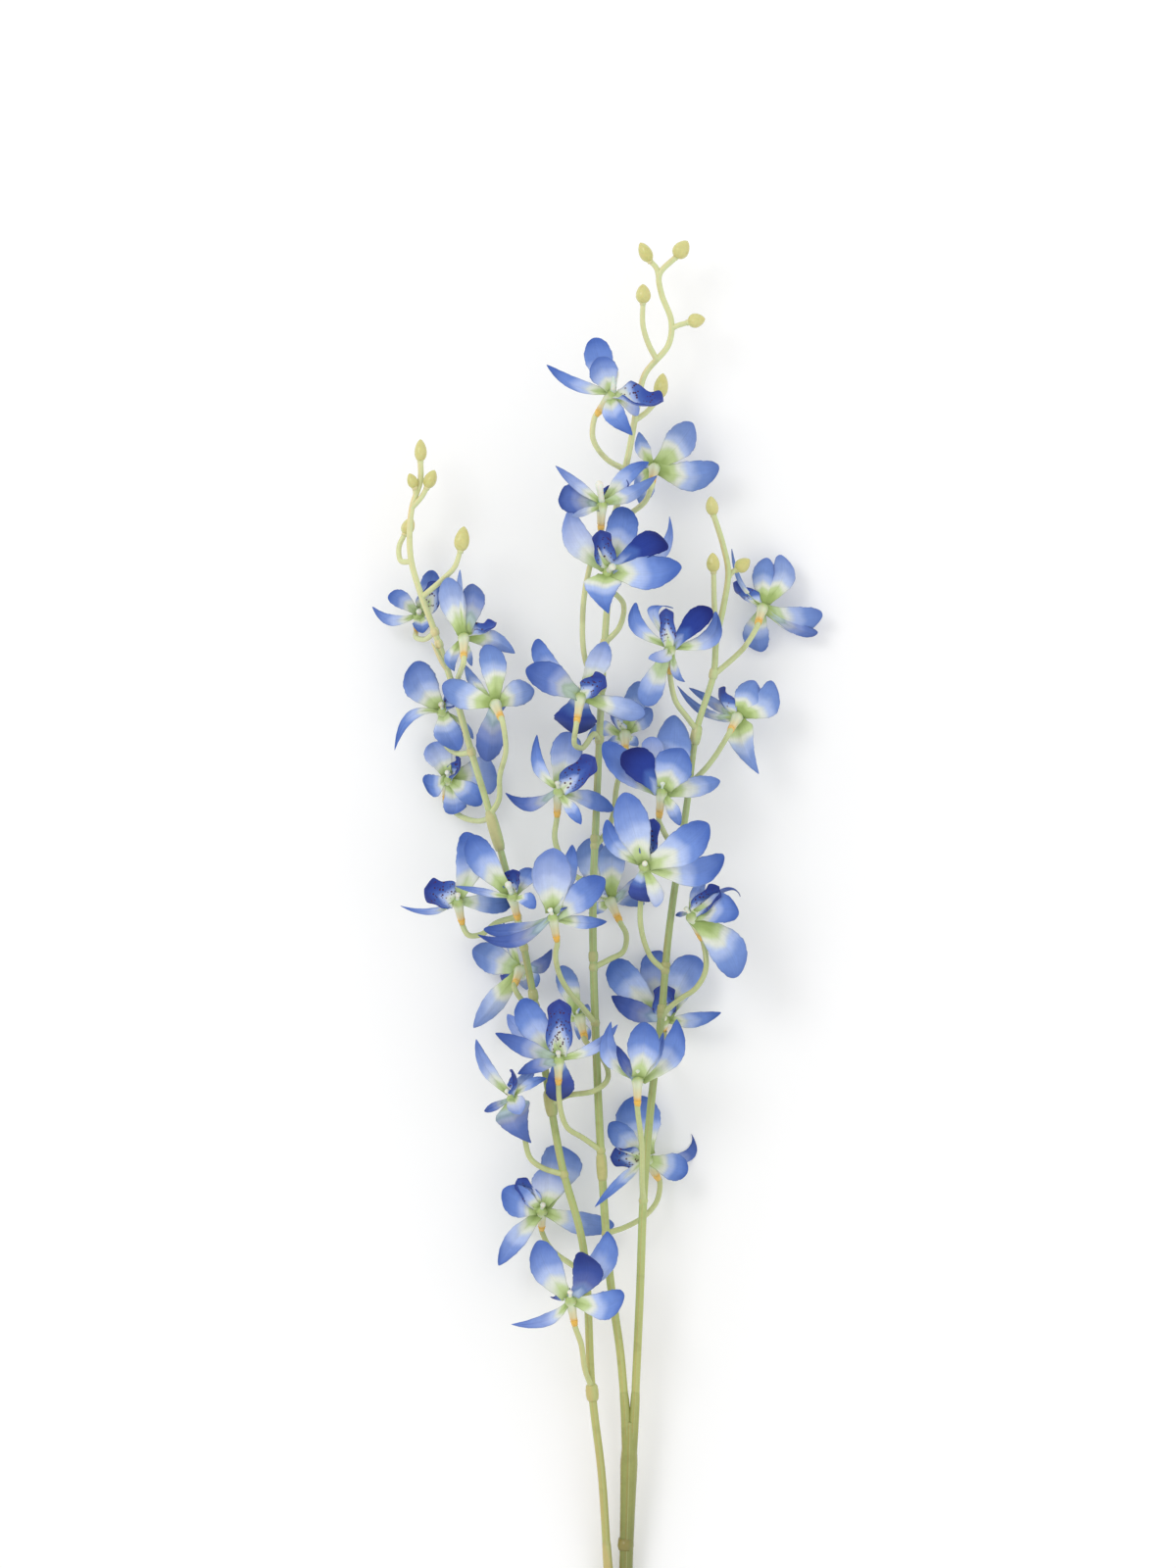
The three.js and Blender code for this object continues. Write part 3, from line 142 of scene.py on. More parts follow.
# Blooms: name, branch where the name's first letter doesn't give it, throat, facing direction, the lip's
# tip from the throat, where the stalk starts on the branch, its route, and the petals: form, tip from the
# throat, width as a share of the form's, how far the face is turned up or down, how far the middle bends
# aside, and tone (from -1 darkest to 1 palest) if not 0
BLOOMS = [
    {"name": "c01", "at": [8.5, 599, 58], "face": [0.55, 0.75, 0.35],
     "lip": [25.5, -2.5, 8], "lip_scale": 1.7, "lip_up": 0.3, "column_length": 12,
     "column_lean": 0.55, "lip_tone": 0.25,
     "from": 561, "stalk": [[5, 566, 41], [-1.5, 576, 48]], "petals": [
     ["S", -33.5, 14, 4, 0.46, 0.6, -2, -4.5], ["P", -9.5, 28, -6, 0.71, 0.8, -1.5, 1],
     ["P", -7.5, 17.5, 9, 1.09, 0.9, -1, 1, 0.1], ["S", 10, -22, 12, 0.93, 0.8, -4, 0],
     ["P", 13.5, -9, -18, 0.47, 0.7, 1, -2, 0.6]]},
    {"name": "c02", "at": [30, 562, 30], "face": [0.1, 0.6, -0.75],
     "lip": [-4, 0, -20], "from": 533, "stalk": [[16, 537, 33], [25, 544, 36]], "petals": [
     ["P", 19.5, 22.5, -8, 0.76, -0.8, 2, 0, 0.1], ["P", 33, -0.5, -4, 0.7, -0.8, 1, -4.5],
     ["S", -8, 18, -16, 0.66, -0.8, -1.5, 0], ["S", -7.5, -19, -14, 0.79, -0.8, -1, -2.5],
     ["S", -10, -12, -18, 0.79, -0.8, -1.5, -0.5]]},
    {"name": "c03", "at": [3, 543, 56], "face": [0.03, 0.95, 0.3],
     "lip": [12, 13, -4], "lip_up": 0.5, "column_length": 12, "lip_tone": -0.4,
     "from": 449, "stalk": [[-5, 462, 39], [-6.5, 490, 40], [-2, 515, 45]], "petals": [
     ["P", -22, 1, 12, 0.93, 0.8, -3, 1.5, -0.4], ["S", -23.5, 18.5, 14, 0.38, 0.8, 0, -1, 0.3],
     ["S", 24, 21, -12, 0.55, 0.7, 0, 3], ["S", 28, 13.5, 10, 0.51, -0.8, -0.5, -3, -0.1],
     ["S", -15.5, -7.5, 24, 0.32, -0.8, 1, -0.5, 0.5]]},
    {"name": "c04", "at": [6.5, 508.5, 54], "face": [0.15, 0.4, 0.9],
     "lip": [-4, 19.5, 10], "lip_scale": 1.2, "lip_up": 0.9, "column_length": 10,
     "from": 472, "stalk": [[12, 480, 36], [14, 492, 38]], "petals": [
     ["S", -19.5, 32.5, 2, 0.82, 0.8, -6, -1, 0.5], ["P", 8.5, 32.5, -12, 0.66, 0.8, 1.5, 1],
     ["S", 31, 28, -22, 0.33, 0.8, 9, -6.5, 0.2], ["P", 37, 1.5, 12, 0.64, 0.8, 0, -2.5],
     ["T", 0, -22, 8, 0.92, 0.8, -3.5, 0.5], ["P", 30, 13, 15, 0.54, 0.8, 4, 6.5, -0.9]]},
    {"name": "c05", "at": [-7.5, 445.5, 54], "face": [0.15, 0.95, -0.1],
     "lip": [11.5, 9, 8], "lip_scale": 1.2, "lip_up": 0.8, "lip_tone": -0.2,
     "from": 423, "stalk": [[-1, 425.5, 40], [-6.7, 418.5, 45], [-10.7, 420, 49]], "petals": [
     ["P", -28, 13, 8, 0.75, 0.8, -1, 0.5, -0.3], ["P", -23, 28, -6, 0.42, 0.8, -5, 1, -0.1],
     ["P", 32.5, -10, 6, 0.5, -0.8, 1.5, -1.5, 0.2], ["P", -3.5, -20, -16, 1.34, -0.8, -1, -1.5, -0.9],
     ["S", 12.5, 27, -12, 0.82, 0.8, 2.5, 4, 0.4]]},
    {"name": "c06", "at": [-19, 397, 48], "face": [0.05, 0.85, 0.4],
     "lip": [17.5, 16, 12], "lip_scale": 1.4, "lip_up": 0.8, "lip_tone": -0.2,
     "from": 349, "stalk": [[-12, 354, 35.1], [-18.5, 364, 37.1], [-21, 373, 39.1]], "petals": [
     ["S", -11, 28, 2, 0.5, 0.8, -4, -2.5], ["P", 5, 29.5, -12, 0.74, 0.8, 1, 1.5, 0.25],
     ["S", -27, -1.5, 6, 0.57, 0.8, -1.5, -7, -0.4], ["S", 11.5, -17.5, 12, 0.62, 0.8, 1.5, -1.5],
     ["P", 28, -10, -12, 0.46, 0.6, 0, -0.5]]},
    {"name": "c07", "at": [15, 426, 18], "face": [0, 0.65, -0.75],
     "lip": [-6, 18, -9],
     "from": 369, "stalk": [[4.5, 374, 31.1], [9, 385, 29], [10.5, 398, 28], [13, 408, 28]],
     "petals": [
     ["P", 7.5, 26.5, 0, 0.62, -0.8, 0.5, 0.5], ["P", 13.5, 12.5, -6, 0.83, -0.8, 1, 0],
     ["P", -19.5, -3, -8, 0.55, -0.8, -0.5, 4.5], ["S", -10, -5.5, -12, 0.63, -0.8, 0, -0.5],
     ["P", 6.5, -6.5, -12, 0.54, -0.8, 0.5, 0]]},
    {"name": "c08", "at": [7, 341, 14.1], "face": [-0.35, 0.75, -0.5],
     "lip": [-15, 11, -4], "from": 307, "stalk": [[7, 310.5, 31.2], [14, 314.5, 28.2], [15.5, 323, 24.2]],
     "petals": [
     ["P", -11, 31, -4, 0.73, -0.8, -2.5, 2], ["P", 2, 29, 6, 0.7, -0.8, 0, 2],
     ["P", 20.5, 4, -6, 0.56, 0.8, 2.5, 5.5, -0.4], ["S", -10.5, -7.5, -6, 1.02, -0.8, -0.5, -0.5],
     ["P", 18, -2.5, -30, 0.41, -0.8, 0.5, 2, -0.1]]},
    {"name": "c09", "at": [-22, 333, 62.1], "face": [-0.15, 0.85, 0.5],
     "lip": [10, 11, -2],
     "from": 278, "stalk": [[-7, 286.5, 39.3], [-13.5, 294, 44.3], [-18.5, 303, 49.2], [-20.5, 313, 53.2]],
     "petals": [
     ["P", 0.5, 34.5, 9, 0.83, 0.8, -1, 1, 0.35], ["P", 26.5, 19, 8, 0.67, 0.8, 0.5, 0, -0.1],
     ["S", -38, -9.5, 3, 0.39, 0.8, 0, -8, -0.5], ["S", 27.5, -3, -9, 0.52, 0.8, 0.5, -1.5],
     ["S", 10, 36, -17, 0.47, 0.8, 2.5, 2.5], ["P", -35, -7, -6, 0.3, 0.8, 0, -3.5, -0.3]]},
    {"name": "c10", "branch": "left", "at": [-8.5, 281, 18.3], "face": [-0.2, 0.75, -0.6],
     "lip": [-4, 13, -10],
     "from": 237, "stalk": [[-15, 241, 38.6], [-1, 243.5, 40.6], [5.8, 249, 36.6], [4.5, 258, 28.5]],
     "petals": [
     ["P", -9, 26, -6, 0.59, -0.8, -0.5, 1.5], ["S", -14, 2, -12, 0.77, -0.8, 0, 0],
     ["P", 4.5, 6, -12, 0.47, -0.8, 1, 0], ["P", 5, -12, -8, 0.44, -0.8, 1, -0.5],
     ["S", 0, -12, -14, 0.61, -0.8, 0, -0.5]]},
    {"name": "c11", "at": [-19, 260.5, 58.5], "face": [0, 0.88, 0.48],
     "lip": [0.5, 29, 12], "lip_scale": 1.5, "lip_up": 0.8, "lip_tone": 0.2,
     "from": 213, "stalk": [[-6.5, 219.5, 37.9], [-14.5, 225, 44.8], [-18, 234.5, 50.7]], "petals": [
     ["P", -19, 30, -2, 0.67, 0.8, -2.5, 1], ["S", -26, 22, -22, 0.49, 0.8, -3.5, 0, 0.3],
     ["S", -32, 13, 8, 0.56, 0.8, -1, -1, -0.3], ["S", 30, 17, -9, 0.38, 0.8, 2.5, -3.5, 0.2],
     ["S", -20.5, -7.5, 15, 0.62, 0.8, -1.5, 0, -0.4], ["P", -1.5, -22, -17, 0.81, -0.8, 2, -1, -0.8]]},
    {"name": "c13", "at": [25.5, 208.7, 17], "face": [-0.45, 0.75, 0.5],
     "lip": [-17.5, 1, 6], "lip_scale": 1.2, "lip_up": 0.8, "lip_tone": 0.5,
     "from": 170, "stalk": [[15, 173.5, 22.7], [25, 179, 16.5], [31.5, 187, 10.4]], "petals": [
     ["P", -5, 31.5, -10, 1.04, 0.8, -1, 1], ["P", -18.5, 18, 6, 0.7, 0.8, -1, 0.5],
     ["S", -26, -24, 31, 0.25, 0.8, -0.5, -0.5], ["P", 21.5, -7, 1, 0.98, 0.8, 1.5, -0.5],
     ["S", 23.5, 12, -32, 0.33, 0.8, 8, -6.5, -0.4]]},
    {"name": "r01", "at": [85.5, 490.7, 18], "face": [0.2, 0.65, -0.72],
     "lip": [-14, 13, -6], "from": 456, "stalk": [[66, 460.5, 32.5], [76, 470, 31]], "petals": [
     ["P", 9.5, 26.5, -7, 0.65, -0.8, 5, 0.5, 0.2], ["P", 30.5, -4.5, -5, 0.67, -0.8, 1, -4.5, -0.1],
     ["P", -1, -23, -12, 0.8, -0.8, -3, -2, -0.1], ["S", -16, 29.5, 4, 0.16, -0.8, -3, -3],
     ["P", 28, -13.5, -6, 0.3, -0.8, 3, -4, -0.4], ["P", 2, 25, -4, 0.64, -0.8, -1, 1.5]]},
    {"name": "r02", "at": [37.8, 470, 54], "face": [0, 0.9, 0.4],
     "lip": [-2, 18, 13], "lip_scale": 0.9, "lip_up": 0.8, "lip_tone": 0.3,
     "from": 428, "stalk": [[46.5, 434, 39], [40.5, 442.5, 45]], "petals": [
     ["P", -18, 22, 5, 0.42, 0.8, -6.5, -1.5], ["P", 1.5, 19.5, -4, 0.46, 0.8, -9.5, 7.5],
     ["P", 21, 19, 6, 0.59, 0.8, 1.5, 3, -0.9], ["P", -13, -30, 6, 0.58, -0.8, -2, -4, -0.1],
     ["P", -11, -6.5, 20, 0.46, 0.8, 1.5, -2.5, 0.7], ["P", 23.5, 17.5, -4, 0.48, 0.8, 7.5, -5, 0.1],
     ["S", 7.5, -18, 0, 0.52, -0.8, -1.5, -3, -0.1]]},
    {"name": "r03", "at": [72.6, 434.7, 32], "face": [0.3, 0.55, -0.78],
     "lip": [-8, 14, -12], "from": 400, "stalk": [[56, 408, 36], [62, 416, 38]], "petals": [
     ["P", 8.5, 18, -4, 1.04, -0.8, 0, -0.5], ["P", 18, 17.5, -4, 0.84, -0.8, 4.5, -3.5],
     ["T", 10.5, -29.5, 2, 0.51, -0.8, -2.5, 0, 0.1], ["S", -25, 14.5, -16, 0.36, -0.8, 0.5, -0.5, -0.3],
     ["S", -15, -0.5, -24, 0.37, -0.8, 0, -0.5, 0.7], ["S", -31, 15.5, -4, 0.28, -0.8, -1.5, -5.5, -0.3]]},
    {"name": "r04", "at": [33.7, 397, 54], "face": [0.1, 0.9, 0.3],
     "lip": [4, 14, -4], "from": 365, "stalk": [[38, 370, 40.1], [33.5, 378, 46.1]], "petals": [
     ["P", -30, 24, 2, 0.57, 0.8, -1.5, -1.5, -0.1], ["P", -20, 19, 9, 0.84, 0.8, -0.5, 3, -0.9],
     ["P", 10.5, 21, 14, 1.11, 0.8, -1, -0.5], ["P", -6, 27, -6, 0.6, 0.8, -1, 4, 0.5],
     ["S", 29.5, 4.5, 2, 0.78, -0.8, 3.5, 0], ["S", 9, -18, 5, 0.76, -0.8, 1, -1],
     ["P", 6.5, 38, -14, 0.65, -0.8, 2, -0.5]]},
    {"name": "r05", "at": [24.8, 358.6, 64.1], "face": [0.05, 0.45, 0.9],
     "lip": [4.5, 23.5, 4], "lip_up": 0.8,
     "from": 305, "stalk": [[29, 310.5, 36.2], [25, 318.5, 41.2], [22.5, 332, 50.1]], "petals": [
     ["P", -10.5, 37, 4, 0.69, 0.8, -0.5, 0, 0.1], ["P", 32.5, 21, 6, 0.71, 0.8, 2.5, -2],
     ["P", -19.5, 23, -5, 0.44, 0.8, -4, -2.5], ["P", 40.5, 4.5, -6, 0.51, 0.8, 3, -6.5],
     ["P", 2, -18.5, -7, 1.06, -0.8, -3, -2, -0.8], ["S", 6, -21, 9, 0.73, -0.8, 2, -2, 0.9]]},
    {"name": "r06", "at": [48.2, 333.5, 46.1], "face": [-0.4, 0.85, 0.3],
     "lip": [13.5, 14, 10], "lip_scale": 1.1, "lip_up": 0.8,
     "from": 282, "stalk": [[42.4, 290, 37.3], [51, 296, 41.3], [56, 305.5, 43.2]], "petals": [
     ["P", 24.5, 1, 8, 0.94, 0.8, 1.5, 2.5], ["P", 24, -31.5, 2, 0.72, -0.8, 5, 0.5],
     ["S", 25.5, 9, -12, 0.18, 0.5, 4, 6.5, -0.5], ["S", -7.5, -0.5, -12, 0.45, 0.8, 0, 0, -0.4],
     ["S", 7.5, 17, -18, 0.56, 0.8, -0.5, 0.5, 0.1]]},
    {"name": "r07", "at": [35, 279.6, 13.6], "face": [0, 0.35, 0.93],
     "lip": [0, 17, 9], "lip_scale": 1.35, "lip_up": 0.8,
     "from": 256, "stalk": [[33, 257.5, 19.5], [35, 262, 8.5]], "petals": [
     ["P", -27, 29.5, 0, 0.61, 0.8, -4.5, 3], ["S", -27, 12, 8, 0.78, 0.8, -2, -1.5, -0.6],
     ["S", -2.5, 35, -14, 0.8, 0.8, -4, 6.5, -0.2], ["P", 17, 32, 0, 0.73, 0.8, 1, 4, 0.1],
     ["S", 29, 3.5, 4, 0.57, 0.8, 0.5, -2]]},
    {"name": "r08", "at": [21.2, 250.7, 54.6], "face": [0, 0.97, 0.22],
     "lip": [0, 14, -6], "from": 187, "stalk": [[23.6, 196, 38.2], [23.4, 216, 44.9]], "petals": [
     ["S", -13.5, 28.5, 5, 0.65, 0.8, -6.5, -2.5, 0.1], ["P", 3.5, 28.5, 16, 0.75, 0.8, 1, 0],
     ["S", 20, 29.5, -4, 0.75, 0.8, 6.5, -1], ["S", -10.5, 16.5, 8, 0.55, 0.8, -0.5, 0, -0.6],
     ["S", 13, 23, 8, 0.39, 0.8, 2, -0.5, 0.1]]},
    {"name": "l01", "at": [-90.3, 486.7, 18], "face": [0.1, 0.5, 0.85],
     "lip": [10.5, 15.5, 9], "lip_scale": 1.3, "lip_up": 0.8, "lip_tone": 0.8,
     "from": 477, "stalk": [[-87, 474, 24], [-92, 475, 13]], "petals": [
     ["P", -15.5, 10, 4, 0.76, 0.8, -1, 2, -0.1], ["S", -24, 4, -4, 0.53, 0.8, -1.5, -5, 0.1],
     ["P", 7, 22.5, -5, 0.6, 0.8, 1, 1.5, -0.2], ["P", 2, -9.5, 10, 1.03, 0.8, 0.5, -0.5],
     ["S", 5.5, -6, -19, 0.4, 0.8, 0, -1]]},
    {"name": "l02", "at": [-67.2, 475.6, 46], "face": [0, 0.78, -0.55],
     "lip": [16, 8, -2], "lip_scale": 1.2, "lip_up": 0.5, "lip_tone": 0.5,
     "from": 446, "stalk": [[-70.5, 453, 42]], "petals": [
     ["P", -8.5, 29.5, -2, 0.62, -0.8, -1, 1, 0.3], ["P", 4.5, 26.5, -14, 0.59, -0.8, 1.5, 2, -0.4],
     ["S", 26, -9, -6, 0.74, -0.8, 1.5, 2, 0.1], ["S", -5, -18, -4, 0.84, -0.8, -4, -1.5],
     ["S", 4, -15.5, -1, 0.6, -0.8, 0, -1], ["S", -2, 33.5, -5, 0.24, -0.8, -1, 1, 0.3]]},
    {"name": "l03", "at": [-51.5, 441.5, 52], "face": [-0.25, 0.6, -0.75],
     "lip": [2, -2, -19], "from": 385, "stalk": [[-49.5, 392, 38], [-49, 404, 45], [-45.8, 417, 55]],
     "petals": [
     ["P", -26.5, 9, 2, 0.75, -0.8, -1, -1.5], ["P", -4, 29.5, -5, 0.66, -0.8, 1.5, 2.5],
     ["P", 20, 6.5, -7, 0.91, -0.8, 1, 1.5, 0.1], ["P", -4, -30, -5, 0.71, -0.8, 0, -1, -0.5],
     ["S", -15, 19, -20, 0.4, -0.8, -1.5, -0.5]]},
    {"name": "l04", "at": [-78.3, 437.7, 22], "face": [0, 0.8, 0.55],
     "lip": [9, 8, 4], "from": 416, "stalk": [[-70, 415.5, 28], [-76, 419, 19]], "petals": [
     ["P", -14.5, 24.5, 4, 0.95, 0.8, -3, -0.5, 0.1], ["S", -24.5, -20.5, 2, 0.37, 0.8, -3.5, 7],
     ["P", 8.5, -20.5, 8, 0.92, 0.8, -2.5, 0.5, 0.1], ["P", 4.5, 7.5, -13, 0.55, 0.8, 0, 0],
     ["S", 15.5, -14.5, -17, 0.41, -0.8, 2, 0]]},
    {"name": "l05", "at": [-75.5, 403, 15], "face": [0.1, 0.75, 0.65],
     "lip": [5, 10, 8], "from": 383, "stalk": [[-60, 381, 25], [-70, 384, 12]], "petals": [
     ["P", -8.5, 18, -3, 1.12, 0.8, 0, 1.5, 0.4], ["P", 17, -13.5, 7, 0.78, 0.8, 1, 0],
     ["P", 25, -1.5, -3, 1.17, 0.8, 2.5, 2, 0.2], ["P", -13, -1, 3, 1.41, 0.8, 0, -4],
     ["P", 2.5, -18.5, 2, 1.06, 0.8, 2, -2, 0.1]]},
    {"name": "l06", "at": [-70.5, 340.5, 46.1], "face": [-0.15, 0.75, 0.6],
     "lip": [-16, 6.5, 6], "lip_scale": 1.7, "lip_up": 0.6,
     "from": 333, "stalk": [[-51, 329, 32.1], [-58, 323.5, 34.2], [-65, 323, 37.2]], "petals": [
     ["S", -29, -2.5, 4, 0.25, 0.8, 1.5, -4.5, 0.1], ["P", 5, 35, -8, 0.66, 0.8, 4.5, 1],
     ["S", -5.5, -4.5, -17, 0.24, 0.8, 0, 0], ["P", 27.5, -0.5, -16, 0.52, 0.8, 1, -1.5, -0.1],
     ["S", 2.5, -4.5, -14, 0.29, -0.8, 0.5, 0]]},
    {"name": "l07", "at": [-42.7, 343.6, 52.1], "face": [-0.2, 0.82, 0.5],
     "lip": [0, 13, -2], "column_length": 9,
     "from": 316, "stalk": [[-39.5, 324, 40.2]], "petals": [
     ["P", -21.5, 30, 6, 0.6, 0.8, -3, 1.5], ["S", -18.5, 27, -9, 0.47, 0.8, -1.5, 1],
     ["S", -28.5, 4.5, 12, 0.26, 0.8, 0, -0.5, 0.2], ["P", 12, -6.5, 15, 0.57, 0.8, 2, 1.5],
     ["P", 10.5, 13, -16, 0.6, 0.8, 0.5, 0.5]]},
    {"name": "l08", "at": [-38.5, 305.4, 18.2], "face": [0.2, 0.55, -0.8],
     "lip": [-8, -6, -15], "from": 287, "stalk": [[-37, 289, 31.3]], "petals": [
     ["P", -24.5, 10, -3, 0.88, -0.8, -0.5, -0.5, -0.1], ["S", -24, -30, 2, 0.63, -0.8, -1, -1.5, 0.2],
     ["S", 16, 10, -8, 0.85, -0.8, 2, -3.5, -0.6], ["S", -9, 24, -8, 0.38, -0.8, -0.5, 0.5],
     ["P", 3, -11, -34, 0.31, -0.8, 0, 0, 0.6], ["P", 8.5, -9, -4, 0.76, -0.8, 2, 1]]},
    {"name": "l09", "at": [-43, 241, 41.6], "face": [-0.4, 0.75, 0.5],
     "lip": [-1, 13, 8], "from": 201, "stalk": [[-27, 204, 32.1], [-33.5, 209, 29], [-36.2, 219, 29.9]],
     "petals": [
     ["S", -18, 29, 2, 0.45, 0.8, -3, -1, 0.2], ["S", 11.5, 12, -11, 0.72, 0.8, -0.5, 0, 0.1],
     ["S", 18, 9, 2, 0.58, 0.8, 0.5, 1.5], ["S", -14, -8, -10, 0.5, 0.8, -1, -1, -0.4],
     ["T", 10, -24, -4, 0.81, -0.8, -3.5, -0.5, -0.5], ["P", 4.5, -9, 15, 0.85, 0.8, 0.5, 0, 0.6]]},
    {"name": "l10", "at": [-27.7, 182.5, 21.5], "face": [0, 0.7, 0.7],
     "lip": [-11.5, 15.5, 8], "lip_up": 0.8, "lip_tone": 0.7,
     "from": 150, "stalk": [[-12, 154, 19.1], [-23, 162, 11.9]], "petals": [
     ["P", -20, 10, 4, 1.06, 0.8, -0.5, -1.5], ["P", 2.5, 22, 8, 1.14, 0.8, 2, -0.5, 0.6],
     ["P", 10.5, 32, -10, 0.9, 0.8, 4, 3.5, 0.1], ["S", -22, -28.5, 2, 0.66, 0.8, -2, -0.5, 0.1],
     ["P", 37, -8.5, -9, 0.46, 0.8, -1, -2.5, 0.1]]},
    {"name": "l11", "at": [-13, 138, 47.6], "face": [-0.15, 0.9, 0.35],
     "lip": [-8, 2, -11], "from": 92, "stalk": [[-5.5, 101, 31.8], [-7.5, 114.5, 38.3]], "petals": [
     ["P", -16.5, 29.5, 3, 0.69, 0.8, -2.5, -0.5, 0.1], ["P", 6, 24, 10, 0.88, 0.8, 5, -0.5, -0.7],
     ["S", 19, 34, -8, 0.72, 0.8, 7, 2.5], ["P", 27.5, 2, 4, 0.81, 0.8, 2.5, -4.5],
     ["S", -30, -13, 3, 0.43, 0.8, 3, -4, 0.2]]},
]
BRANCH_LETTERS = {"c": "centre", "r": "right", "l": "left"}


def unit(vector):
    vector = np.asarray(vector, float)
    return vector / np.linalg.norm(vector)


def rise(y):
    """Height of a stem's middle above the surface."""
    run = np.maximum(0.0, (np.asarray(y, float) - CUT_END - FLAT_RUN) / RISE_LENGTH)
    return REST_RISE + BRANCH_RISE * (1 - np.exp(-(run**RISE_POWER)))


def raised(route):
    route = np.asarray(route, float)
    return np.column_stack([route, rise(route[:, 1])])


def smooth(edge0, edge1, x):
    t = np.clip((x - edge0) / (edge1 - edge0), 0, 1)
    return t * t * (3 - 2 * t)


def between(p, q, start, end, t):
    return (end - t) / (end - start) * p + (t - start) / (end - start) * q


def spline(points, count):
    """Points at even steps of length on a smooth curve through the given points."""
    p = np.asarray(points, float)
    p = np.vstack([2 * p[0] - p[1], p, 2 * p[-1] - p[-2]])
    dense = []
    for i in range(len(p) - 3):
        a, b, c, d = p[i : i + 4]
        k = [0.0]
        for start, end in ((a, b), (b, c), (c, d)):
            k.append(k[-1] + max(1e-6, np.linalg.norm(end - start)) ** 0.5)
        t = np.linspace(k[1], k[2], 25)[:, None]
        first = between(a, b, k[0], k[1], t)
        second = between(b, c, k[1], k[2], t)
        third = between(c, d, k[2], k[3], t)
        early = between(first, second, k[0], k[2], t)
        late = between(second, third, k[1], k[3], t)
        dense.append(between(early, late, k[1], k[2], t))
    dense = np.vstack(dense)
    run = np.concatenate([[0], np.cumsum(np.linalg.norm(np.diff(dense, axis=0), axis=1))])
    even = np.linspace(0, run[-1], count)
    return np.column_stack([np.interp(even, run, dense[:, k]) for k in range(3)])


class Shape:
    """Collects vertices, faces and per-vertex values for one mesh."""

    def __init__(self):
        self.points = []
        self.values = []
        self.faces = []
        self.kinds = []
        self.count = 0

    def add(self, points, values, faces, kind=0):
        points = np.asarray(points, float).reshape(-1, 3)
        self.points.append(points)
        self.values.append(np.asarray(values, float).reshape(-1, 4))
        self.faces.extend([tuple(self.count + k for k in face) for face in faces])
        self.kinds.extend([kind] * len(faces))
        self.count += len(points)

    def make(self, name, materials):
        points = np.vstack(self.points)
        points[:, 2] = np.maximum(points[:, 2], LOWEST_POINT)
        points = (points - np.array([0, MIDDLE, 0])) / 1000
        mesh = bpy.data.meshes.new(name)
        mesh.from_pydata(points.tolist(), [], self.faces)
        spots = mesh.attributes.new("place", "FLOAT_COLOR", "POINT")
        spots.data.foreach_set("color", np.vstack(self.values).astype(np.float32).ravel())
        for material in materials:
            mesh.materials.append(material)
        mesh.polygons.foreach_set("material_index", np.array(self.kinds, np.int32))
        mesh.polygons.foreach_set("use_smooth", np.ones(len(self.faces), bool))
        mesh.update()
        piece = bpy.data.objects.new(name, mesh)
        bpy.context.scene.collection.objects.link(piece)
        return piece


def grid_faces(rows, columns, closed=False, start=0, turned=False):
    """Quads between rows of points; a closed grid joins its last column to its first."""
    faces = []
    for i in range(rows - 1):
        for j in range(columns if closed else columns - 1):
            k = (j + 1) % columns
            face = (i * columns + j, i * columns + k, (i + 1) * columns + k, (i + 1) * columns + j)
            face = tuple(start + f for f in face)
            faces.append(face[::-1] if turned else face)
    return faces


def frames_along(path):
    """Two directions across a path at each of its points, turning as little as possible."""
    along = np.gradient(path, axis=0)
    along /= np.linalg.norm(along, axis=1)[:, None]
    start = np.array([0, 0, 1.0]) if abs(along[0][2]) < 0.9 else np.array([1.0, 0, 0])
    first = []
    side = start
    for direction in along:
        side = side - direction * side.dot(direction)
        side /= np.linalg.norm(side)
        first.append(side)
    first = np.array(first)
    return first, np.cross(along, first)


def add_rings(shape, points, along, angle, shade, kind=0):
    """One closed form from rings; its values say how far along and how far round, and its shade."""
    rows, sides = points.shape[:2]
    along = np.broadcast_to(along[:, None], (rows, sides))
    round_ = np.broadcast_to(angle[None, :] / (2 * np.pi), (rows, sides))
    values = np.stack([along, round_, np.full((rows, sides), shade), np.ones((rows, sides))], -1)
    faces = grid_faces(rows, sides, closed=True)
    faces.append(tuple(range(sides))[::-1])
    faces.append(tuple((rows - 1) * sides + k for k in range(sides)))
    shape.add(points, values, faces, kind)


def tube(shape, path, radius, sides, shade=0.0, bumps=0.0, seed=1):
    """Round stem along a path."""
    path = np.asarray(path, float)
    rows = len(path)
    radius = np.broadcast_to(np.asarray(radius, float), (rows,))
    first, second = frames_along(path)
    angle = np.linspace(0, 2 * np.pi, sides, endpoint=False)
    rough = np.random.default_rng(seed).normal(0, 1, (rows, 3))
    rough = np.cumsum(rough, axis=0)
    rough -= np.linspace(0, 1, rows)[:, None] * rough[-1]
    wave = 1 + bumps * (rough[:, :1] * np.cos(2 * angle) + rough[:, 1:2] * np.sin(angle)) / rows**0.5
    ring = radius[:, None] * wave
    points = path[:, None, :] + ring[..., None] * (
        first[:, None, :] * np.cos(angle)[None, :, None] + second[:, None, :] * np.sin(angle)[None, :, None]
    )
    add_rings(shape, points, np.linspace(0, 1, rows), angle, shade)


